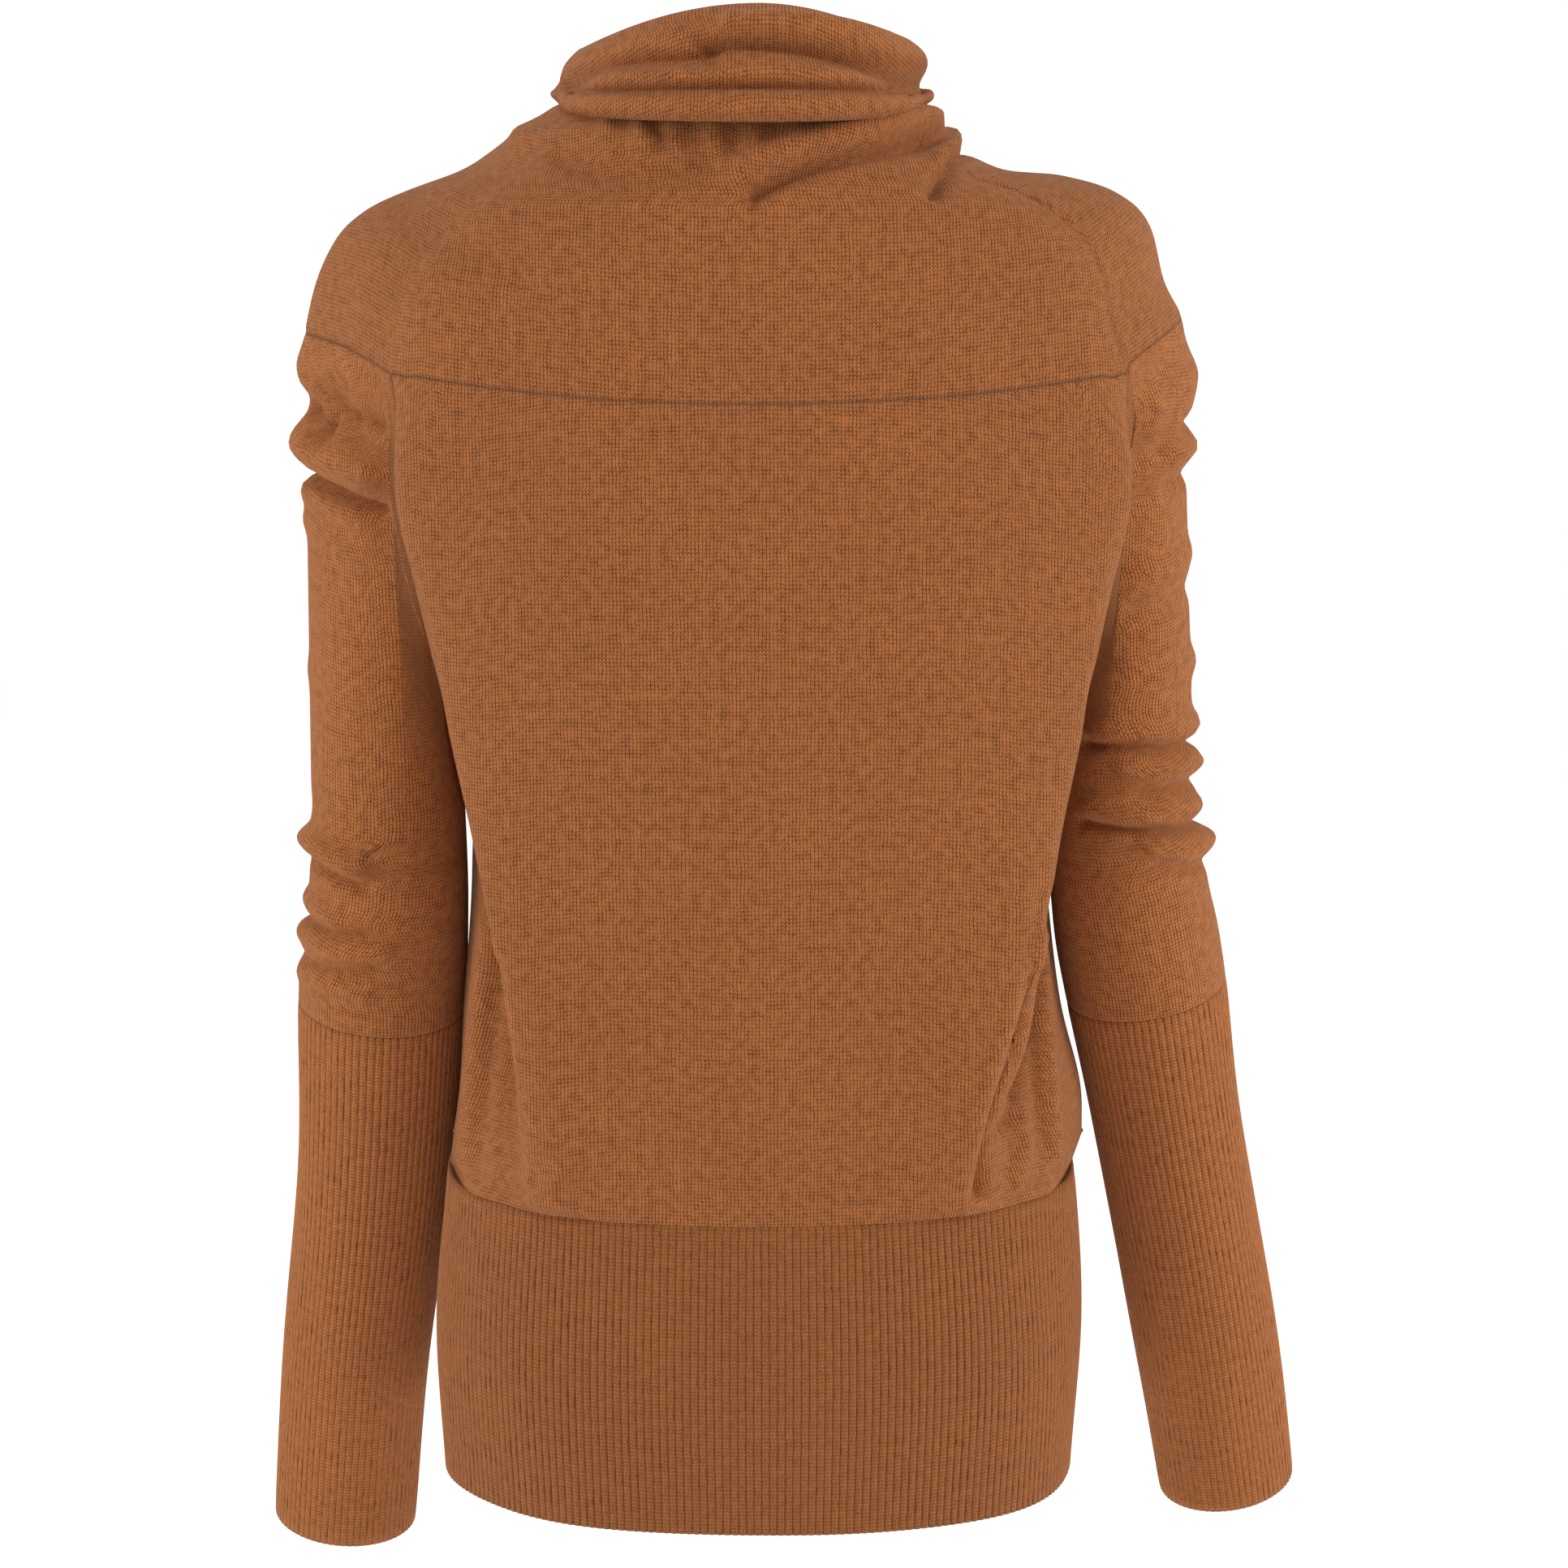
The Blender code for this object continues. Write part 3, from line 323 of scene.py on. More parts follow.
def knit_piece(name, grid, material, seam_rows, seam_sides, middles, rib=None, wall=WALL, sink=SINK):
    """A piece of cloth over a grid whose rows run up it and whose columns run round it.

    The grid of a tube ends on its first column again. seam_rows says whether the lower and the upper edge
    are sewn, and the cloth sinks there by the given amount. middles are the ranges of columns that each
    measure their stitches from their middle, and rib is the run of the cloth over the columns of a rib.
    """
    rows, columns = grid.shape[:2]
    closed = np.allclose(grid[:, 0], grid[:, -1])
    up = lengths(grid, 0)
    round_it = lengths(grid, 1)
    sideways = round_it.copy()
    for first, middle, last in middles:
        sideways[:, first:last] = round_it[:, first:last] - round_it[:, middle:middle + 1]
    if rib is not None:
        sideways = np.broadcast_to(rib, (rows, columns))
    to_rows = np.minimum(up if seam_rows[0] else NO_SEAM, up[-1:] - up if seam_rows[1] else NO_SEAM)
    to_sides = np.full_like(up, NO_SEAM)
    if seam_sides:
        to_sides = np.minimum(round_it, round_it[:, -1:] - round_it)
    sinking = np.exp(-((np.minimum(to_rows, to_sides) / SINK_REACH) ** 2)) * sink
    inner = grid[:, :-1] if closed else grid
    normals = grid_normals(inner, closed)
    if closed:
        normals = np.concatenate([normals, normals[:, :1]], axis=1)
    placed = grid - normals * sinking[..., None]

    bm = bmesh.new()
    bmesh.ops.create_grid(bm, x_segments=columns - 1, y_segments=rows - 1, size=1)
    mesh = bpy.data.meshes.new(name)
    bm.to_mesh(mesh)
    bm.free()
    mesh.vertices.foreach_set("co", placed.reshape(-1).astype(np.float32))
    corner = np.empty(len(mesh.loops), np.int32)
    mesh.loops.foreach_get("vertex_index", corner)
    for title, u, v in (("cloth", sideways, up), ("seams", to_rows, to_sides)):
        layer = mesh.uv_layers.new(name=title)
        pairs = np.stack(np.broadcast_arrays(u, v, up)[:2], axis=-1).reshape(-1, 2)
        layer.uv.foreach_set("vector", pairs[corner].reshape(-1).astype(np.float32))
    if closed:
        bm = bmesh.new()
        bm.from_mesh(mesh)
        ends = [v for v in bm.verts if v.index % columns in (0, columns - 1)]
        bmesh.ops.remove_doubles(bm, verts=ends, dist=1e-6)
        bm.to_mesh(mesh)
        bm.free()
    mesh.materials.append(material)
    mesh.shade_smooth()
    piece = add_object(name, mesh)
    thickness = piece.modifiers.new("cloth", "SOLIDIFY")
    thickness.thickness = wall
    thickness.offset = 0
    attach(piece, "root")
    return piece


def through(places, values, where):
    """A smooth curve through the values at rising places, read where asked."""
    places = np.asarray(places, float)
    values = np.asarray(values, float)
    where = np.clip(np.asarray(where, float), places[0], places[-1])
    slopes = np.gradient(values, places, axis=0)
    low = np.clip(np.searchsorted(places, where, side="right") - 1, 0, len(places) - 2)
    step = places[low + 1] - places[low]
    t = (where - places[low]) / step
    t = t.reshape(t.shape + (1,) * (values.ndim - 1))
    step = step.reshape(t.shape)
    start = (1 + 2 * t) * (1 - t) ** 2 * values[low] + t * (1 - t) ** 2 * step * slopes[low]
    end = t * t * (3 - 2 * t) * values[low + 1] - t * t * (1 - t) * step * slopes[low + 1]
    return start + end


def column(table, name):
    return np.array([getattr(row, name) for row in table])


def read(table, key, name, where):
    """One column of a table as a smooth function of another."""
    return through(column(table, key), column(table, name), where)


def unit(vectors):
    return vectors / np.maximum(np.linalg.norm(vectors, axis=-1, keepdims=True), 1e-9)


# Folds: soft ridges and troughs, drawn on the cloth as it is seen from the back or the front
Fold = namedtuple("Fold", "side x0 z0 x1 z1 x2 z2 width height sag", defaults=[0])
FOLD_STEPS = 12


def fold_line(fold):
    """Points along a fold, which runs from its first place by its second to its third."""
    t = np.linspace(0, 1, FOLD_STEPS + 1)[:, None]
    a, b, c = np.array([[fold.x0, fold.z0], [fold.x1, fold.z1], [fold.x2, fold.z2]])
    middle = 2 * b - (a + c) / 2
    return (1 - t) ** 2 * a + 2 * t * (1 - t) * middle + t * t * c


def nearness(points, fold):
    """1 on the fold's line, falling to 0 within about two widths of it and past its ends."""
    line = fold_line(fold)
    flat = points[..., [0, 2]]
    best = np.full(flat.shape[:-1], np.inf)
    for a, b in zip(line[:-1], line[1:]):
        d = b - a
        t = np.clip(((flat - a) @ d) / max(d @ d, 1e-12), 0, 1)
        best = np.minimum(best, np.linalg.norm(flat - a - t[..., None] * d, axis=-1))
    return np.exp(-((best / fold.width) ** 2))


def folded(points, folds, closed):
    """The points moved out along their normals on ridges, in on troughs, and down where a fold sags."""
    normals = grid_normals(points, closed)
    moved = points.copy()
    for fold in folds:
        facing = {"back": normals[..., 1], "front": -normals[..., 1]}.get(fold.side)
        share = 1.0 if facing is None else np.clip(facing * 2 + 0.6, 0, 1)
        amount = (nearness(points, fold) * share)[..., None]
        moved += normals * amount * fold.height
        moved[..., 2] -= amount[..., 0] * fold.sag
    return moved


def grid_normals(points, closed):
    """Outward normals of a grid whose rows run up the cloth and whose columns run round it."""
    along = np.gradient(points, axis=0)
    if closed:
        round_it = (np.roll(points, -1, axis=1) - np.roll(points, 1, axis=1)) / 2
    else:
        round_it = np.gradient(points, axis=1)
    return unit(np.cross(round_it, along))


# A row for each height. The edge is the side seam and, above the underarm, the armhole.
# Behind the arm the cloth hangs past it in a straight fold, which is the plane's turn.
Side = namedtuple(
    "Side",
    "z edge_x edge_y edge_z pleat_x pleat_y tuck_x tuck_y turn_x turn_y plane_x plane_y",
)
LEFT_BACK = [
    Side(-0.510, 0.1615, -0.003, -0.510, 0.149, 0.053, 0.1235, 0.081, 0.1155, 0.094, 0.104, 0.102),
    Side(-0.490, 0.1585, -0.003, -0.490, 0.148, 0.050, 0.1225, 0.076, 0.118, 0.0985, 0.106, 0.108),
    Side(-0.440, 0.1550, -0.003, -0.440, 0.144, 0.044, 0.118, 0.067, 0.1225, 0.098, 0.112, 0.109),
    Side(-0.385, 0.1505, -0.003, -0.385, 0.142, 0.032, 0.123, 0.061, 0.1315, 0.095, 0.1215, 0.105),
    Side(-0.330, 0.1480, -0.003, -0.330, 0.142, 0.026, 0.134, 0.056, 0.1420, 0.088, 0.132, 0.101),
    Side(-0.275, 0.1425, -0.003, -0.273, 0.142, 0.025, 0.148, 0.052, 0.1535, 0.083, 0.143, 0.097),
    Side(-0.262, 0.1455, -0.003, -0.262, 0.1445, 0.028, 0.151, 0.055, 0.1555, 0.084, 0.145, 0.097),
    Side(-0.240, 0.152, 0.035, -0.243, 0.155, 0.052, 0.160, 0.069, 0.160, 0.084, 0.149, 0.096),
    Side(-0.205, 0.161, 0.056, -0.205, 0.166, 0.066, 0.169, 0.077, 0.165, 0.087, 0.153, 0.095),
    Side(-0.157, 0.172, 0.068, -0.155, 0.1775, 0.075, 0.176, 0.0825, 0.166, 0.089, 0.150, 0.096),
    Side(-0.111, 0.180, 0.072, -0.102, 0.174, 0.079, 0.165, 0.0855, 0.153, 0.0925, 0.135, 0.100),
]
RIGHT_BACK = [
    Side(-0.510, 0.1690, -0.003, -0.510, 0.151, 0.053, 0.124, 0.081, 0.1135, 0.0945, 0.100, 0.103),
    Side(-0.490, 0.1685, -0.003, -0.490, 0.151, 0.050, 0.126, 0.077, 0.116, 0.099, 0.103, 0.109),
    Side(-0.440, 0.1568, -0.003, -0.440, 0.146, 0.046, 0.126, 0.069, 0.133, 0.098, 0.121, 0.109),
    Side(-0.385, 0.1495, -0.003, -0.385, 0.141, 0.032, 0.130, 0.061, 0.1410, 0.095, 0.130, 0.105),
    Side(-0.330, 0.1450, -0.003, -0.330, 0.140, 0.026, 0.141, 0.056, 0.1490, 0.088, 0.138, 0.101),
    Side(-0.275, 0.140, -0.003, -0.273, 0.141, 0.025, 0.151, 0.053, 0.1595, 0.083, 0.149, 0.096),
    Side(-0.262, 0.1425, -0.003, -0.262, 0.144, 0.028, 0.154, 0.056, 0.161, 0.084, 0.151, 0.096),
    Side(-0.240, 0.153, 0.035, -0.243, 0.158, 0.052, 0.164, 0.069, 0.1655, 0.084, 0.154, 0.095),
    Side(-0.205, 0.165, 0.055, -0.205, 0.170, 0.065, 0.1735, 0.077, 0.169, 0.087, 0.156, 0.095),
    Side(-0.157, 0.176, 0.067, -0.155, 0.1815, 0.074, 0.180, 0.082, 0.169, 0.089, 0.152, 0.096),
    Side(-0.111, 0.181, 0.070, -0.097, 0.175, 0.077, 0.166, 0.0845, 0.154, 0.0915, 0.136, 0.0995),
]
Middle = namedtuple("Middle", "z back front")
MIDDLE = [
    Middle(-0.510, 0.1152, -0.1195),
    Middle(-0.490, 0.1175, -0.124),
    Middle(-0.440, 0.1205, -0.129),
    Middle(-0.370, 0.121, -0.135),
    Middle(-0.316, 0.123, -0.141),
    Middle(-0.262, 0.126, -0.147),
    Middle(-0.205, 0.128, -0.145),
    Middle(-0.157, 0.1275, -0.136),
    Middle(-0.111, 0.125, -0.124),
]
MIDWAY_IN = 0.005

# Soft ridges and troughs, each from its first place by its second to its third: uneven, as cloth falls
BACK_FOLDS = [
    # The flat of the back ends at the wearer's right in a long trough, with a crease and two ridges by it
    Fold("back", -0.14, -0.36, -0.138, -0.4, -0.132, -0.44, 0.0048, -0.003),
    Fold("back", -0.135, -0.415, -0.12, -0.463, -0.111, -0.512, 0.0046, -0.007),
    Fold("back", -0.126, -0.42, -0.112, -0.463, -0.103, -0.505, 0.006, 0.0016),
    Fold("back", -0.133, -0.44, -0.128, -0.462, -0.124, -0.482, 0.0036, -0.0042),
    Fold("back", -0.136, -0.4, -0.139, -0.45, -0.144, -0.492, 0.0042, -0.003),
    Fold("back", -0.14, -0.38, -0.144, -0.435, -0.15, -0.505, 0.0044, 0.0046),
    Fold("back", -0.126, -0.472, -0.133, -0.489, -0.131, -0.512, 0.0048, 0.0036),
    Fold("back", 0.13, -0.395, 0.138, -0.45, 0.146, -0.514, 0.0045, -0.003),
    Fold("back", 0.137, -0.39, 0.145, -0.45, 0.151, -0.512, 0.005, 0.0045),
    Fold("back", 0.1, -0.497, 0.108, -0.508, 0.118, -0.506, 0.004, 0.002),
    # Broad, faint swells of the flat of the back
    Fold("back", 0.06, -0.16, 0.07, -0.3, 0.05, -0.43, 0.035, 0.0016),
    Fold("back", -0.075, -0.15, -0.06, -0.29, -0.072, -0.46, 0.03, -0.0014),
    Fold("back", -0.02, -0.22, 0.000, -0.35, -0.01, -0.48, 0.028, 0.0012),
    Fold("back", -0.15, -0.118, -0.14, -0.128, -0.128, -0.122, 0.006, 0.0018),
]
FRONT_FOLDS = [
    Fold("front", -0.11, -0.42, -0.118, -0.47, -0.112, -0.514, 0.0075, 0.0045),
    Fold("front", -0.098, -0.44, -0.1, -0.48, -0.093, -0.516, 0.005, -0.0045),
    Fold("front", -0.083, -0.455, -0.078, -0.485, -0.074, -0.515, 0.007, 0.003),
    Fold("front", -0.05, -0.478, -0.047, -0.495, -0.049, -0.516, 0.0045, -0.003),
    Fold("front", -0.02, -0.44, -0.03, -0.48, -0.028, -0.512, 0.009, 0.0034),
    Fold("front", 0.018, -0.47, 0.012, -0.492, 0.014, -0.516, 0.005, -0.003),
    Fold("front", 0.047, -0.455, 0.042, -0.488, 0.045, -0.515, 0.0065, -0.004),
    Fold("front", 0.074, -0.465, 0.078, -0.49, 0.076, -0.515, 0.006, 0.003),
    Fold("front", 0.1, -0.4, 0.112, -0.455, 0.108, -0.512, 0.008, 0.005),
    Fold("front", 0.128, -0.43, 0.131, -0.47, 0.126, -0.514, 0.005, -0.0035),
    Fold("front", -0.12, -0.15, -0.075, -0.175, -0.02, -0.178, 0.012, 0.0045, 0.001),
    Fold("front", 0.115, -0.16, 0.065, -0.19, 0.015, -0.196, 0.012, 0.0045, 0.001),
    Fold("front", -0.135, -0.2, -0.11, -0.25, -0.06, -0.27, 0.011, 0.003),
    Fold("front", 0.138, -0.195, 0.12, -0.24, 0.08, -0.262, 0.01, 0.003),
]
# The shares of a panel's height and width over which its folds fade out
FADE_BELOW = 0.06
FADE_ABOVE = 0.12
FADE_SIDE = 0.05
BACK_KNOTS = [0, 2, 4, 6, 8, 12, 15, 18, 22, 24, 26, 28, 30]
FRONT_KNOTS = [0, 3, 6, 9.5, 13, 16, 19]
PANEL_HEIGHTS = [
    -0.525, -0.518, -0.505, -0.484, -0.455, -0.420, -0.380, -0.340, -0.305, -0.275,
    -0.262, -0.240, -0.215, -0.188, -0.160, -0.134, -0.111,
]
UNDERARM_ROW = 10
ROW_SPLIT = 8
COLUMN_SPLIT = 6
UNDERARM = -0.262
YOKE_LINE = -0.111
YOKE_BOW = 0.009
BOW_DEPTH = 0.060
BOW_HALF_WIDTH = 0.165
BAND_TOP = -0.525
BAND_SQUARENESS = 2.3


def split(values, count):
    """The values with count steps between each and the next."""
    values = np.asarray(values, float)
    places = np.arange((len(values) - 1) * count + 1) / count
    return np.interp(places, np.arange(len(values)), values)


def band_ring(angle, half_width, back, front, height):
    """Points of a level ring of the body, square-shouldered in plan, at angles from +X."""
    c = np.cos(angle)
    s = np.sin(angle)
    power = 2 / BAND_SQUARENESS
    depth = np.where(s > 0, back, -front)
    x = half_width * np.sign(c) * np.abs(c) ** power
    y = depth * np.sign(s) * np.abs(s) ** power
    return np.stack([x, y, np.full_like(x, height)], axis=-1)


BAND_HALF_WIDTH = 0.1635
BAND_BACK = 0.1140
BAND_FRONT = -0.1165
BACK_ANGLES = [0, 26, 42, 49, 55, 74.5, 90]
FRONT_ANGLES = [0, 24, 48, 90]


def back_controls(height):
    """The places that the back panel passes through at one height, from the wearer's right to the left."""
    if height <= BAND_TOP:
        angles = np.radians(BACK_ANGLES)
        half = band_ring(angles, BAND_HALF_WIDTH, BAND_BACK, BAND_FRONT, BAND_TOP)
        return np.concatenate([(half * [-1, 1, 1])[:-1], half[::-1]])
    middle = read(MIDDLE, "z", "back", height)
    halves = []
    for table, sign in ((RIGHT_BACK, -1), (LEFT_BACK, 1)):
        got = {name: float(read(table, "z", name, height)) for name in Side._fields[1:]}
        points = [(got["edge_x"], got["edge_y"], got["edge_z"])]
        points += [(got[n + "_x"], got[n + "_y"], height) for n in ("pleat", "tuck", "turn", "plane")]
        points += [(got["plane_x"] / 2, float(middle) - MIDWAY_IN, height)]
        halves.append(np.array(points) * [sign, 1, 1])
    centre = np.array([[0, float(middle), height]])
    return np.concatenate([halves[0], centre, halves[1][::-1]])


def fade(share, start, end):
    """0 at both ends of a piece and 1 between, reached within the given shares of its length."""
    return np.clip(share / start, 0, 1) * np.clip((1 - share) / end, 0, 1)


def panel(controls, knots, columns, folds):
    """A panel's grid of points. Its folds fade out before the seams, so that the seams still meet."""
    low, first = PANEL_HEIGHTS[:2]
    heights = split(PANEL_HEIGHTS, ROW_SPLIT)
    rows = []
    for height in heights:
        # The lowest rows come in evenly to the rib
        share = min((height - low) / (first - low), 1)
        places = controls(low) * (1 - share) + controls(max(height, first)) * share
        rows.append(through(knots, places, columns))
    plain = np.array(rows)
    # The yoke's seam rises from the spine to the armholes, and the rows just below it follow
    heights = heights[:, None]
    near = np.clip((heights - YOKE_LINE) / BOW_DEPTH + 1, 0, 1)
    across = np.clip(np.abs(plain[..., 0]) / BOW_HALF_WIDTH, 0, 1)
    bow = YOKE_BOW * near * across ** 2 * (plain[..., 1] > 0)
    plain[..., 2] += np.clip(bow - np.maximum(plain[..., 2] - heights, 0), 0, None)
    moved = folded(plain[:, ::-1], folds, False)[:, ::-1]
    rise = np.linspace(0, 1, plain.shape[0])[:, None, None]
    across = np.linspace(0, 1, plain.shape[1])[None, :, None]
    inside = fade(rise, FADE_BELOW, FADE_ABOVE) * fade(across, FADE_SIDE, FADE_SIDE)
    return plain + (moved - plain) * inside


back = panel(back_controls, BACK_KNOTS, split(range(31), COLUMN_SPLIT), BACK_FOLDS)
last = back.shape[1]
plain_knit = knit_material("panel", 0.0007, 1.65)
back_panel = knit_piece(
    "back_panel_cloth", back[:, ::-1], plain_knit, (False, True), True, [(0, last // 2, last)]
)
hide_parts("back_panel")


# Front panel: the same cloth, cut a little narrower at the sides and fuller at the chest.
# It falls from the yoke over the bust and blouses over the rib in small uneven folds.
Front = namedtuple("Front", "z edge_x edge_y edge_z flank_x flank_y corner_x corner_y")
FRONT_SIDE = [
    Front(-0.510, 0.1610, -0.003, -0.510, 0.156, -0.048, 0.137, -0.086),
    Front(-0.490, 0.158, -0.003, -0.490, 0.152, -0.048, 0.139, -0.088),
    Front(-0.440, 0.154, -0.003, -0.440, 0.149, -0.048, 0.139, -0.090),
    Front(-0.370, 0.141, -0.003, -0.370, 0.140, -0.048, 0.136, -0.093),
    Front(-0.316, 0.140, -0.003, -0.316, 0.140, -0.048, 0.136, -0.094),
    Front(-0.275, 0.141, -0.003, -0.273, 0.141, -0.048, 0.140, -0.097),
    Front(-0.262, 0.145, -0.003, -0.262, 0.144, -0.050, 0.142, -0.098),
    Front(-0.240, 0.152, -0.040, -0.243, 0.153, -0.068, 0.145, -0.100),
    Front(-0.205, 0.161, -0.060, -0.205, 0.161, -0.080, 0.149, -0.102),
    Front(-0.157, 0.170, -0.070, -0.155, 0.166, -0.084, 0.150, -0.099),
    Front(-0.111, 0.178, -0.074, -0.108, 0.166, -0.085, 0.147, -0.097),
]


def front_controls(height):
    """The places that the front panel passes through at one height, from the wearer's left to the right."""
    if height <= BAND_TOP:
        angles = np.radians(FRONT_ANGLES)
        half = band_ring(-angles, BAND_HALF_WIDTH, BAND_BACK, BAND_FRONT, BAND_TOP)
        return np.concatenate([half, (half * [-1, 1, 1])[:-1][::-1]])
    middle = float(read(MIDDLE, "z", "front", height))
    halves = []
    for back, sign in ((LEFT_BACK, 1), (RIGHT_BACK, -1)):
        got = {name: float(read(FRONT_SIDE, "z", name, height)) for name in Front._fields[1:]}
        shared = height <= UNDERARM + 1e-6
        edge = [float(read(back if shared else FRONT_SIDE, "z", "edge_" + axis, height)) for axis in "xyz"]
        points = [edge, (got["flank_x"], got["flank_y"], height), (got["corner_x"], got["corner_y"], height)]
        halves.append(np.array(points) * [sign, 1, 1])
    centre = np.array([[0, middle, height]])
    return np.concatenate([halves[0], centre, halves[1][::-1]])


front = panel(front_controls, FRONT_KNOTS, np.linspace(0, 19, 20 * COLUMN_SPLIT + 1), FRONT_FOLDS)
last = front.shape[1]
front_panel = knit_piece(
    "front_panel_cloth", front[:, ::-1], plain_knit, (False, True), True, [(0, last // 2, last)]
)
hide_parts("front_panel")


# Yoke: one fully fashioned piece round the shoulders, joined to body and sleeves by a fine sunk seam.
# Its courses run round it, so they rise towards the shoulder tips. It puckers where the collar is linked on.
NECK_HEIGHT = 0.024
NECK_SLOPE = 0.10
CAP_STEPS = 48
YOKE_ROWS = 66
Cap = namedtuple("Cap", "part x y z")
LEFT_CAP = [
    Cap("back corner", 0.180, 0.072, -0.102),
    Cap("behind the arm", 0.204, 0.046, -0.092),
    Cap("shoulder", 0.229, 0.003, -0.089),
    Cap("before the arm", 0.207, -0.046, -0.096),
    Cap("front corner", 0.178, -0.074, -0.108),
]
RIGHT_CAP = [
    Cap("back corner", -0.181, 0.070, -0.097),
    Cap("behind the arm", -0.202, 0.042, -0.085),
    Cap("shoulder", -0.212, 0.003, -0.081),
    Cap("before the arm", -0.201, -0.044, -0.091),
    Cap("front corner", -0.178, -0.074, -0.108),
]

# How the yoke falls from the neck: the share of its way out against the share of its drop
Slope = namedtuple("Slope", "row left_out left_down right_out right_down spine_out spine_down")
YOKE_SLOPE = [
    Slope(0.00, 0.00, 0.00, 0.00, 0.00, 0.00, 0.00),
    Slope(0.14, 0.18, 0.14, 0.12, 0.16, 0.14, 0.10),
    Slope(0.28, 0.36, 0.28, 0.27, 0.30, 0.36, 0.23),
    Slope(0.44, 0.60, 0.38, 0.53, 0.34, 0.58, 0.38),
    Slope(0.60, 0.77, 0.48, 0.74, 0.42, 0.76, 0.55),
    Slope(0.76, 0.88, 0.61, 0.87, 0.58, 0.89, 0.72),
    Slope(0.88, 0.95, 0.78, 0.925, 0.83, 0.96, 0.87),
    Slope(1.00, 1.00, 1.00, 1.00, 1.00, 1.00, 1.00),
]
YOKE_FOLDS = [
    # The draped collar pulls two long folds from the spine up to the wearer's right shoulder
    Fold("back", 0.01, -0.002, -0.036, 0.014, -0.098, 0.0215, 0.0062, 0.0062),
    Fold("back", 0.002, -0.013, -0.038, 0.0035, -0.098, 0.0115, 0.0042, -0.0085, 0.001),
    Fold("any", -0.088, 0.001, -0.103, 0.0115, -0.121, 0.007, 0.0052, 0.0062),
    Fold("any", -0.084, -0.013, -0.097, 0.0015, -0.114, 0.0015, 0.0038, -0.0066),
    Fold("back", 0.055, 0.012, 0.085, 0.012, 0.118, 0.01, 0.0055, 0.0038),
    Fold("back", 0.095, 0.002, 0.06, -0.006, 0.024, 0.001, 0.005, -0.0034),
    Fold("back", 0.17, -0.03, 0.14, -0.04, 0.115, -0.05, 0.012, -0.003),
    Fold("back", 0.195, -0.064, 0.18, -0.072, 0.16, -0.074, 0.009, 0.002),
    Fold("front", 0.1, -0.015, 0.06, -0.045, 0.01, -0.055, 0.008, 0.0045, 0.001),
    Fold("front", 0.105, -0.028, 0.062, -0.058, 0.015, -0.066, 0.006, -0.0035),
    Fold("front", -0.1, -0.02, -0.06, -0.055, -0.01, -0.07, 0.008, 0.0045, 0.001),
    Fold("front", -0.1, -0.034, -0.064, -0.068, -0.02, -0.082, 0.006, -0.0035),
]
# Short puckers below the collar's seam at the back: where each stands, and its height
PUCKERS = [
    (0.074, 0.0022), (0.057, 0.0028), (0.041, 0.0022), (0.022, 0.0034), (0.004, 0.0026), (-0.014, 0.0020),
]
PUCKER_TOP = 0.034
PUCKER_FOOT = 0.006
YOKE_FOLDS += [
    Fold("back", x, PUCKER_TOP, x * 0.98, 0.02, x * 0.94, PUCKER_FOOT, 0.0042, height)
    for x, height in PUCKERS
]
# The yoke's half sizes, and the shares of its rows over which its folds fade out
YOKE_WIDTH = 0.215
YOKE_DEPTH = 0.125
YOKE_FADE_TOP = 0.06
YOKE_FADE_BELOW = 0.25
# The collar's rings, from the neck's seam up the inside and down the outside
Ring = namedtuple("Ring", "name left right back front z_back z_side z_front")
COLLAR_RINGS = [
    Ring("seam", 0.100, 0.083, 0.088, 0.088, 0.0328, 0.024, 0.0152),
    Ring("inside", 0.093, 0.076, 0.083, 0.088, 0.052, 0.037, 0.027),
    Ring("inner turn", 0.084, 0.069, 0.080, 0.090, 0.069, 0.046, 0.035),
    Ring("top", 0.0875, 0.0725, 0.086, 0.098, 0.0755, 0.0515, 0.040),
    Ring("outer turn", 0.0935, 0.0765, 0.096, 0.107, 0.070, 0.0475, 0.033),
    Ring("outside", 0.1015, 0.0805, 0.106, 0.118, 0.046, 0.036, 0.012),
    Ring("free edge", 0.1055, 0.0875, 0.111, 0.124, 0.0235, 0.0270, -0.014),
]
COLLAR_PLACES = [0, 2, 3.6, 4.7, 5.8, 8.6, 11]


def ring_points(ring, angle):
    """A ring of the collar or neck at angles from +X, with its own reach on each side."""
    c = np.cos(angle)
    s = np.sin(angle)
    x = np.where(c > 0, ring.left, ring.right) * c
    y = np.where(s > 0, ring.back, ring.front) * s
    z = ring.z_side + np.where(s > 0, ring.z_back - ring.z_side, ring.z_front - ring.z_side) * s * s
    return np.stack([x, y, z], axis=-1)


def neck_points(angle):
    points = ring_points(COLLAR_RINGS[0], angle)
    points[..., 2] = NECK_HEIGHT + NECK_SLOPE * points[..., 1]
    return points


def cap_points(table):
    """The line where the sleeve's head joins the yoke, from the back corner to the front corner."""
    corners = np.array([[row.x, row.y, row.z] for row in table])
    return through(np.arange(len(table)), corners, np.linspace(0, len(table) - 1, CAP_STEPS + 1))


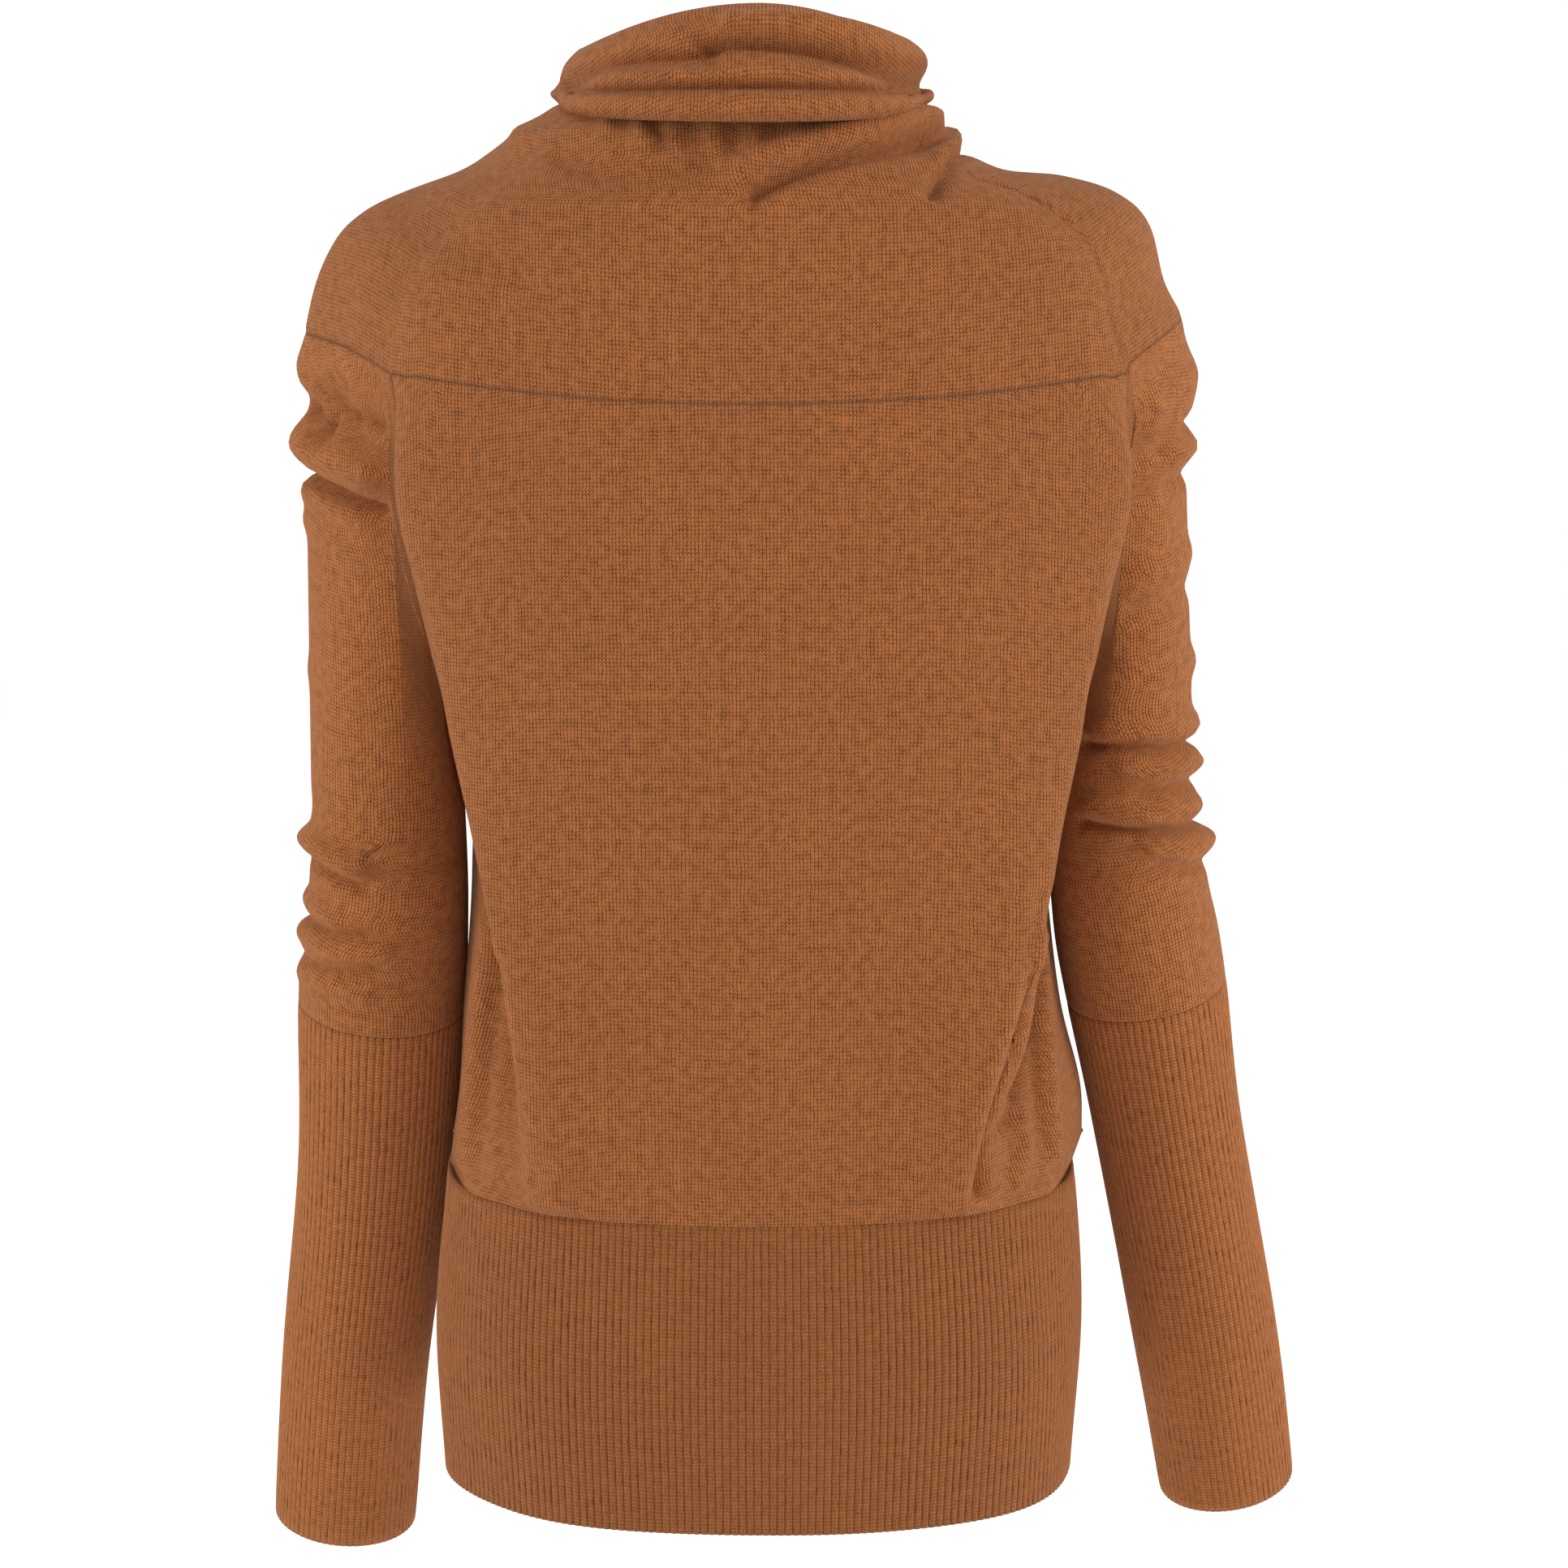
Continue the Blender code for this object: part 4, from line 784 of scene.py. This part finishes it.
def yoke_grid(back, front):
    """The yoke's points, from its lower edge up to the neck."""
    left = cap_points(LEFT_CAP)
    right = cap_points(RIGHT_CAP)[::-1]
    # Seen from above, the columns run anticlockwise from the left front corner
    lower = np.concatenate([left[::-1][:-1], back[-1][::-1][:-1], right[::-1][:-1], front[-1][::-1][:-1]])
    angle = np.arctan2(lower[:, 1] / YOKE_DEPTH, lower[:, 0] / YOKE_WIDTH)
    neck = neck_points(angle)
    rows = np.linspace(1, 0, YOKE_ROWS + 1)
    shares = {"spine": np.sin(angle) ** 2}
    shares["left"] = np.where(np.cos(angle) > 0, 1 - shares["spine"], 0)
    shares["right"] = np.where(np.cos(angle) > 0, 0, 1 - shares["spine"])
    out = sum(np.outer(read(YOKE_SLOPE, "row", k + "_out", rows), v) for k, v in shares.items())
    down = sum(np.outer(read(YOKE_SLOPE, "row", k + "_down", rows), v) for k, v in shares.items())
    out, down = out[..., None], down[..., None]
    way = (lower - neck)[None]
    plain = neck[None] + np.concatenate([way[..., :2] * out, way[..., 2:] * down], axis=-1)
    moved = folded(plain, YOKE_FOLDS, True)
    inside = fade(rows, YOKE_FADE_TOP, YOKE_FADE_BELOW)
    return plain + (moved - plain) * inside[:, None, None]


yoke = yoke_grid(back, front)
# The grid starts again at the left shoulder, so that each half measures its stitches from its own middle
yoke = np.roll(yoke, -(CAP_STEPS // 2), axis=1)
yoke = np.concatenate([yoke, yoke[:, :1]], axis=1)
half_way = back.shape[1] - 1 + CAP_STEPS
yoke_knit = knit_material("yoke", 0.0007, 1.65)
yoke_cloth = knit_piece(
    "yoke_cloth", yoke, yoke_knit, (True, True), False,
    [(0, half_way // 2, half_way), (half_way, (half_way + yoke.shape[1]) // 2, yoke.shape[1])],
)
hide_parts("yoke")


# Collar: a tall soft tube, linked to the yoke and turned down on itself. It settles in three uneven rolls.
# Its free edge stands off the yoke at the back, over a dark hollow.
COLLAR_COLUMNS = 240
COLLAR_ROWS = np.linspace(0, 11, 111)
COLLAR_OUTSIDE = 4.7
COLLAR_FADE = 1.2
CURL_FROM = 10.0
CURL_IN = 0.0065
COLLAR_FOLDS = [
    # The deep crease from the wearer's right, under the top roll, and the ridge that hangs over it
    Fold("back", 0.026, 0.0565, -0.03, 0.053, -0.08, 0.032, 0.0044, -0.0088, 0.0005),
    Fold("back", 0.012, 0.064, -0.042, 0.06, -0.086, 0.039, 0.0062, 0.0062, -0.002),
    # The softer crease at the wearer's left
    Fold("back", 0.1, 0.031, 0.076, 0.046, 0.022, 0.0505, 0.0048, -0.007),
    # The middle roll and the lower one, with the shallow trough between them
    Fold("back", 0.075, 0.041, 0.000, 0.044, -0.07, 0.039, 0.005, 0.0035),
    Fold("back", 0.098, 0.033, 0.000, 0.0375, -0.08, 0.033, 0.0036, -0.0055),
    Fold("back", 0.1, 0.027, 0.000, 0.03, -0.088, 0.0265, 0.006, 0.005),
    Fold("front", 0.085, 0.03, 0.03, 0.004, -0.06, 0.014, 0.006, -0.007),
    Fold("front", 0.08, 0.04, 0.03, 0.015, -0.06, 0.024, 0.007, 0.004),
    Fold("front", -0.075, 0.034, -0.02, 0.022, 0.05, 0.026, 0.005, 0.0045),
    Fold("front", -0.07, 0.018, -0.02, 0.0000, 0.04, -0.004, 0.005, -0.004),
]


def collar_grid():
    angle = np.linspace(0, 2 * math.pi, COLLAR_COLUMNS, endpoint=False)
    rings = np.array([ring_points(ring, angle) for ring in COLLAR_RINGS])
    rings[0] = neck_points(angle)
    plain = through(COLLAR_PLACES, rings, COLLAR_ROWS)
    # The free edge rolls under
    curl = np.clip((COLLAR_ROWS - CURL_FROM) / (11 - CURL_FROM), 0, 1) ** 2 * CURL_IN
    level = plain[..., :2]
    plain[..., :2] -= level / np.linalg.norm(level, axis=-1, keepdims=True) * curl[:, None, None]
    # The turned-down side faces the other way round the rings, so it is folded with its columns reversed
    moved = folded(plain[:, ::-1], COLLAR_FOLDS, True)[:, ::-1]
    outside = np.clip((COLLAR_ROWS - COLLAR_OUTSIDE) / COLLAR_FADE, 0, 1)
    return plain + (moved - plain) * outside[:, None, None]


collar = collar_grid()
collar = np.concatenate([collar, collar[:, :1]], axis=1)
collar_knit = knit_material("collar", 0.0006, 1.5)
collar_cloth = knit_piece(
    "collar_cloth", collar, collar_knit, (True, False), False,
    [(0, COLLAR_COLUMNS // 4, COLLAR_COLUMNS + 1)],
)
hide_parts("collar")


# Sleeves: long tubes of the same cloth, linked into the armholes and to the cuffs, cut longer than the arm.
# The spare length drops in rolls below each shoulder and bunches in creases at the elbow.
Arm = namedtuple("Arm", "along x y z half_width half_depth")
LEFT_ARM = [
    Arm(0.0, 0.1925, 0.002, -0.330, 0.0385, 0.0370),
    Arm(0.5, 0.1940, -0.004, -0.385, 0.0405, 0.0370),
    Arm(1.0, 0.2000, -0.019, -0.443, 0.0428, 0.0370),
    Arm(1.25, 0.2052, -0.038, -0.506, 0.0415, 0.0363),
    Arm(1.5, 0.2120, -0.055, -0.570, 0.0400, 0.0355),
    Arm(1.75, 0.2240, -0.077, -0.660, 0.0385, 0.0345),
    Arm(2.0, 0.2345, -0.100, -0.762, 0.0382, 0.0335),
]
RIGHT_ARM = [
    Arm(0.0, -0.1868, 0.002, -0.330, 0.0362, 0.0365),
    Arm(0.5, -0.1922, -0.003, -0.380, 0.0400, 0.0365),
    Arm(1.0, -0.2025, -0.015, -0.434, 0.0412, 0.0365),
    Arm(1.25, -0.2150, -0.032, -0.500, 0.0388, 0.0360),
    Arm(1.5, -0.2310, -0.052, -0.580, 0.0378, 0.0355),
    Arm(1.75, -0.2460, -0.070, -0.660, 0.0374, 0.0345),
    Arm(2.0, -0.2590, -0.088, -0.736, 0.0362, 0.0335),
]
HEAD_SHARES = np.linspace(0, 0.99, 78)
FOREARM_ROWS = 66
SLEEVE_FADE_BELOW = 0.05
SLEEVE_FADE_ABOVE = 0.06
# The arm's angles at the shoulder, the back corner, the underarm, the front corner and the shoulder again
ARM_TURNS = [0, 112, 180, 248, 360]
ARCH_EASE = 7
LATE_EASE = 1.6
DRAW_IN = 0.5
UNDERARM_EASE = 0.018

LEFT_SLEEVE_FOLDS = [
    # The slack of the head drops in two rolls, with a short crease between and a sharp one below
    Fold("any", 0.25, -0.1, 0.228, -0.102, 0.205, -0.094, 0.0125, 0.0075),
    Fold("back", 0.242, -0.112, 0.229, -0.127, 0.216, -0.136, 0.0042, -0.0088),
    Fold("back", 0.218, -0.137, 0.208, -0.126, 0.188, -0.13, 0.004, -0.006),
    Fold("back", 0.236, -0.119, 0.222, -0.123, 0.207, -0.114, 0.006, -0.004),
    Fold("back", 0.222, -0.108, 0.21, -0.12, 0.196, -0.138, 0.0045, -0.0035),
    Fold("any", 0.25, -0.135, 0.228, -0.142, 0.195, -0.15, 0.0105, 0.0088, 0.003),
    Fold("any", 0.238, -0.155, 0.222, -0.162, 0.188, -0.173, 0.0036, -0.0092, -0.001),
    Fold("any", 0.246, -0.164, 0.224, -0.171, 0.195, -0.181, 0.006, 0.003),
    Fold("any", 0.242, -0.178, 0.228, -0.184, 0.215, -0.188, 0.006, 0.0022),
    # Elbow
    Fold("any", 0.246, -0.346, 0.23, -0.35, 0.205, -0.358, 0.005, 0.0066, 0.001),
    Fold("back", 0.246, -0.356, 0.228, -0.361, 0.202, -0.369, 0.0038, -0.0034),
    Fold("any", 0.246, -0.381, 0.232, -0.384, 0.218, -0.39, 0.005, 0.003),
    Fold("any", 0.246, -0.391, 0.226, -0.395, 0.2, -0.396, 0.0036, -0.003),
    Fold("any", 0.246, -0.401, 0.222, -0.404, 0.195, -0.404, 0.005, 0.0038),
    Fold("back", 0.246, -0.413, 0.226, -0.417, 0.2, -0.413, 0.004, -0.003),
    Fold("back", 0.246, -0.426, 0.226, -0.424, 0.205, -0.428, 0.005, 0.0022),
    # The inner side of the elbow, seen from the front
    Fold("front", 0.18, -0.33, 0.2, -0.34, 0.225, -0.332, 0.006, -0.0045),
    Fold("front", 0.175, -0.352, 0.2, -0.36, 0.23, -0.356, 0.006, 0.0045),
    Fold("front", 0.175, -0.24, 0.2, -0.262, 0.225, -0.262, 0.008, 0.003),
]
RIGHT_SLEEVE_FOLDS = [
    Fold("any", -0.232, -0.099, -0.215, -0.107, -0.2, -0.123, 0.016, 0.0072),
    Fold("back", -0.196, -0.097, -0.2, -0.115, -0.199, -0.142, 0.005, -0.003),
    Fold("any", -0.24, -0.129, -0.224, -0.131, -0.21, -0.133, 0.004, -0.0035),
    Fold("any", -0.24, -0.141, -0.224, -0.144, -0.208, -0.147, 0.006, 0.0058),
    Fold("any", -0.24, -0.155, -0.224, -0.158, -0.205, -0.161, 0.0045, -0.003),
    Fold("any", -0.236, -0.192, -0.215, -0.201, -0.19, -0.207, 0.0065, 0.0022),
    Fold("any", -0.236, -0.213, -0.214, -0.219, -0.19, -0.223, 0.006, -0.0022),
    Fold("back", -0.236, -0.253, -0.214, -0.257, -0.186, -0.253, 0.006, 0.002),
    # Elbow: two long creases with rolls between and below
    Fold("any", -0.245, -0.294, -0.205, -0.287, -0.16, -0.287, 0.006, 0.0042),
    Fold("any", -0.245, -0.304, -0.21, -0.297, -0.168, -0.295, 0.0036, -0.0052),
    Fold("any", -0.248, -0.31, -0.22, -0.308, -0.185, -0.306, 0.005, 0.0056, 0.001),
    Fold("any", -0.246, -0.319, -0.222, -0.318, -0.195, -0.319, 0.0036, -0.003),
    Fold("any", -0.248, -0.329, -0.216, -0.33, -0.17, -0.327, 0.0055, 0.0052, 0.001),
    Fold("any", -0.248, -0.339, -0.214, -0.341, -0.166, -0.336, 0.0036, -0.0048),
    Fold("any", -0.25, -0.353, -0.224, -0.352, -0.2, -0.347, 0.0055, 0.005, 0.001),
    Fold("back", -0.248, -0.364, -0.226, -0.363, -0.205, -0.357, 0.004, -0.0026),
    Fold("front", -0.175, -0.33, -0.2, -0.338, -0.225, -0.33, 0.006, -0.0045),
    Fold("front", -0.17, -0.35, -0.2, -0.358, -0.23, -0.352, 0.006, 0.0045),
    Fold("front", -0.17, -0.235, -0.195, -0.255, -0.222, -0.256, 0.008, 0.003),
]


def arm_frames(table, along):
    """The centres of the arm's rings, and their sideways and depth directions."""
    centres = np.stack([read(table, "along", axis, along) for axis in "xyz"], axis=-1)
    ahead = np.stack([read(table, "along", axis, along + 0.01) for axis in "xyz"], axis=-1)
    behind = np.stack([read(table, "along", axis, along - 0.01) for axis in "xyz"], axis=-1)
    tangent = unit(ahead - behind)
    outward = np.array([math.copysign(1, table[0].x), 0, 0])
    sideways = unit(outward - (tangent @ outward)[:, None] * tangent)
    depth = np.cross(tangent, sideways)
    depth = depth * np.sign(depth[:, 1:2])
    return centres, sideways, depth


def arm_rings(table, along, angle):
    """Rings of the arm. Angle 0 is the outer side and a quarter turn is the back."""
    centres, sideways, depth = arm_frames(table, along)
    half_width = read(table, "along", "half_width", along)[:, None, None]
    half_depth = read(table, "along", "half_depth", along)[:, None, None]
    c = np.cos(angle)[None, :, None]
    s = np.sin(angle)[None, :, None]
    return centres[:, None] + half_width * c * sideways[:, None] + half_depth * s * depth[:, None]


def armhole(cap, back, front, left):
    """The armhole, from the shoulder by the back, the underarm and the front, and each point's angle."""
    below = UNDERARM_ROW * ROW_SPLIT
    side = -1 if left else 0
    front_side = 0 if left else -1
    down_back = back[below:, side][::-1]
    up_front = front[below:, front_side]
    shoulder = CAP_STEPS // 2
    to_back = cap[:shoulder + 1][::-1]
    from_front = cap[shoulder:][::-1]
    loop = np.concatenate([to_back[:-1], down_back[:-1], up_front[:-1], from_front[:-1]])
    steps = [shoulder, len(down_back) - 1, len(up_front) - 1, shoulder]
    angle = np.concatenate([
        np.linspace(a, b, n, endpoint=False) for a, b, n in zip(ARM_TURNS[:-1], ARM_TURNS[1:], steps)
    ])
    return loop, np.radians(angle)


def sleeve_grid(table, loop, angle, folds):
    """The sleeve's points, from its cuff seam up to the armhole."""
    share = HEAD_SHARES[:, None]
    first = arm_rings(table, np.array([0.0]), angle)
    way = first - loop[None]
    head = loop[None] + way * share[..., None]
    # The underarm is an arch, which the sleeve leaves sideways before it falls, drawing in clear of the body
    inner = np.clip(-np.cos(angle), 0, 1)[None]
    outward = way[..., 0] * math.copysign(1, table[0].x) > 0
    early = 1 - (1 - share) ** ARCH_EASE
    late = share ** LATE_EASE
    head[..., 0] += way[..., 0] * (np.where(outward, early, late) - share) * inner
    head[..., 0] += math.copysign(UNDERARM_EASE, table[0].x) * np.sqrt(share) * (1 - share) * inner
    head[..., 1] += way[..., 1] * (share ** (1 - DRAW_IN * np.abs(np.sin(angle))[None]) - share)
    fore = arm_rings(table, np.linspace(0, 1, FOREARM_ROWS + 1), angle)
    plain = np.concatenate([head, fore])[::-1]
    moved = folded(plain, folds, True)
    rise = np.linspace(0, 1, len(plain))[:, None, None]
    return plain + (moved - plain) * fade(rise, SLEEVE_FADE_BELOW, SLEEVE_FADE_ABOVE)


# The sleeves are the panels' cloth, painted a tenth lighter as painted light
sleeve_knit = knit_material("sleeve", 0.0007, 1.65, 1.10)
for side, table, cap, folds in (
    ("left", LEFT_ARM, LEFT_CAP, LEFT_SLEEVE_FOLDS),
    ("right", RIGHT_ARM, RIGHT_CAP, RIGHT_SLEEVE_FOLDS),
):
    loop, angle = armhole(cap_points(cap), back, front, side == "left")
    turn = 1 if side == "left" else -1
    sleeve = sleeve_grid(table, loop[::turn], angle[::turn], folds)
    count = sleeve.shape[1]
    # The tube's own seam lies under the arm
    sleeve = np.roll(sleeve, -(count // 2), axis=1)
    sleeve = np.concatenate([sleeve, sleeve[:, :1]], axis=1)
    sleeve_cloth = knit_piece(
        "sleeve_" + side + "_cloth", sleeve, sleeve_knit, (False, True), False, [(0, count // 2, count + 1)]
    )
    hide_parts("sleeve_" + side)


# Cuffs: deep one-by-one rib, from above the wrist over the hand, linked to the sleeves by a row of eyelets.
# The columns of the rib stand up round and full, with narrow furrows between.
CUFF_ROWS = 54
RIB_COLUMNS = 8
RIB_FULLNESS = 0.75
RIB_WALL = 0.0018
CUFF_EDGE = 0.006
CUFF_LENGTH = 0.33
EDGE_TUCK = 0.5
RIB_START = 0.012
LEAST_RIB = 0.15
Waver = namedtuple("Waver", "turns phase reach")
CUFF_WAVERS = [Waver(2, 0.4, 0.0007), Waver(3, 1.9, 0.0005), Waver(5, 0.8, 0.0003)]


def ribs_of(count, per_rib):
    """How far each column of points stands out over a rib, and how far round the cloth it lies."""
    place = np.arange(count * per_rib + 1) / per_rib
    stand = np.abs(np.sin(math.pi * place)) ** RIB_FULLNESS
    return stand - 0.5, place * RIB_PITCH


rib_knit = knit_material("cuff_rib", 0.0005, 0.85, 0.99, RIB_PITCH, RIB_PITCH)
for side, table in (("left", LEFT_ARM), ("right", RIGHT_ARM)):
    along = np.linspace(2, 1, CUFF_ROWS + 1)
    girth = 2 * math.pi * (table[2].half_width + table[2].half_depth) / 2
    ribs = 2 * round(girth / RIB_PITCH / 2)
    stand, run = ribs_of(ribs, RIB_COLUMNS)
    angle = np.linspace(0, 2 * math.pi, ribs * RIB_COLUMNS + 1)
    if side == "right":
        angle = -angle
    ring = arm_rings(table, along, angle)
    centres = arm_frames(table, along)[0]
    away = unit(ring - centres[:, None])
    height = (2 - along)[:, None]
    sway = sum(w.reach * np.sin(w.turns * angle[None] + w.phase + 5 * height) for w in CUFF_WAVERS)
    sway = sway * np.sin(math.pi * np.clip(height, 0, 1))
    tuck = 1 - EDGE_TUCK * np.exp(-(height * CUFF_LENGTH / CUFF_EDGE) ** 2)
    tuck = tuck * np.clip((1 - height) * CUFF_LENGTH / RIB_START + LEAST_RIB, 0, 1)
    cuff = ring + away * (stand[None] * RIB_RAISE * tuck + sway)[..., None]
    cuff_cloth = knit_piece(
        "cuff_" + side + "_cloth", cuff, rib_knit, (False, True), False, [], rib=run, wall=RIB_WALL, sink=0
    )
    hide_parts("cuff_" + side)


# Hem band: the same deep rib all round the hips, linked to both panels along a row of eyelets.
# It holds the body's fullness in and hangs almost straight, with a slow wave here and there.
BAND_BOTTOM = -0.690
Band = namedtuple("Band", "z half_width back front")
BAND_SECTIONS = [
    Band(BAND_BOTTOM, 0.1655, 0.1130, -0.1150),
    Band(-0.610, 0.1695, 0.1150, -0.1175),
    Band(BAND_TOP, BAND_HALF_WIDTH, BAND_BACK, BAND_FRONT),
]
BAND_RIBS = 232
BAND_ROWS = 30
BAND_COLUMNS = 6
MEASURE_POINTS = 4320
BAND_WAVERS = [Waver(3, 0.9, 0.0011), Waver(5, 2.2, 0.0008), Waver(8, 0.3, 0.0005)]

dense = np.linspace(0, 2 * math.pi, MEASURE_POINTS + 1)
hips = BAND_SECTIONS[1]
level = band_ring(dense, hips.half_width, hips.back, hips.front, 0)
distance = np.concatenate([[0], np.cumsum(np.linalg.norm(np.diff(level, axis=0), axis=1))])
stand, run = ribs_of(BAND_RIBS, BAND_COLUMNS)
angle = np.interp(np.linspace(0, distance[-1], BAND_RIBS * BAND_COLUMNS + 1), distance, dense)
heights = np.linspace(BAND_BOTTOM, BAND_TOP, BAND_ROWS + 1)
reaches = [read(BAND_SECTIONS, "z", name, heights) for name in ("half_width", "back", "front")]
band = np.array([band_ring(angle, *reach, z) for *reach, z in zip(*reaches, heights)])
smooth = grid_normals(band[:, :-1], True)
smooth = np.concatenate([smooth, smooth[:, :1]], axis=1)
rise = ((heights - BAND_BOTTOM) / (BAND_TOP - BAND_BOTTOM))[:, None]
sway = sum(w.reach * np.sin(w.turns * angle[None] + w.phase + 2 * rise) for w in BAND_WAVERS)
sway = sway * np.clip((1 - rise) * 3, 0, 1)
start = np.clip((BAND_TOP - heights)[:, None] / RIB_START + LEAST_RIB, 0, 1)
band = band + smooth * (stand[None] * RIB_RAISE * start + sway)[..., None]
# The hem band is the cuffs' rib, painted darker as painted shade
hem_knit = knit_material("hem_rib", 0.0004, 0.7, 0.81, RIB_PITCH, RIB_PITCH)
hem_cloth = knit_piece(
    "hem_band_cloth", band, hem_knit, (False, True), False, [], rib=run, wall=RIB_WALL, sink=0
)
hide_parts("hem_band")
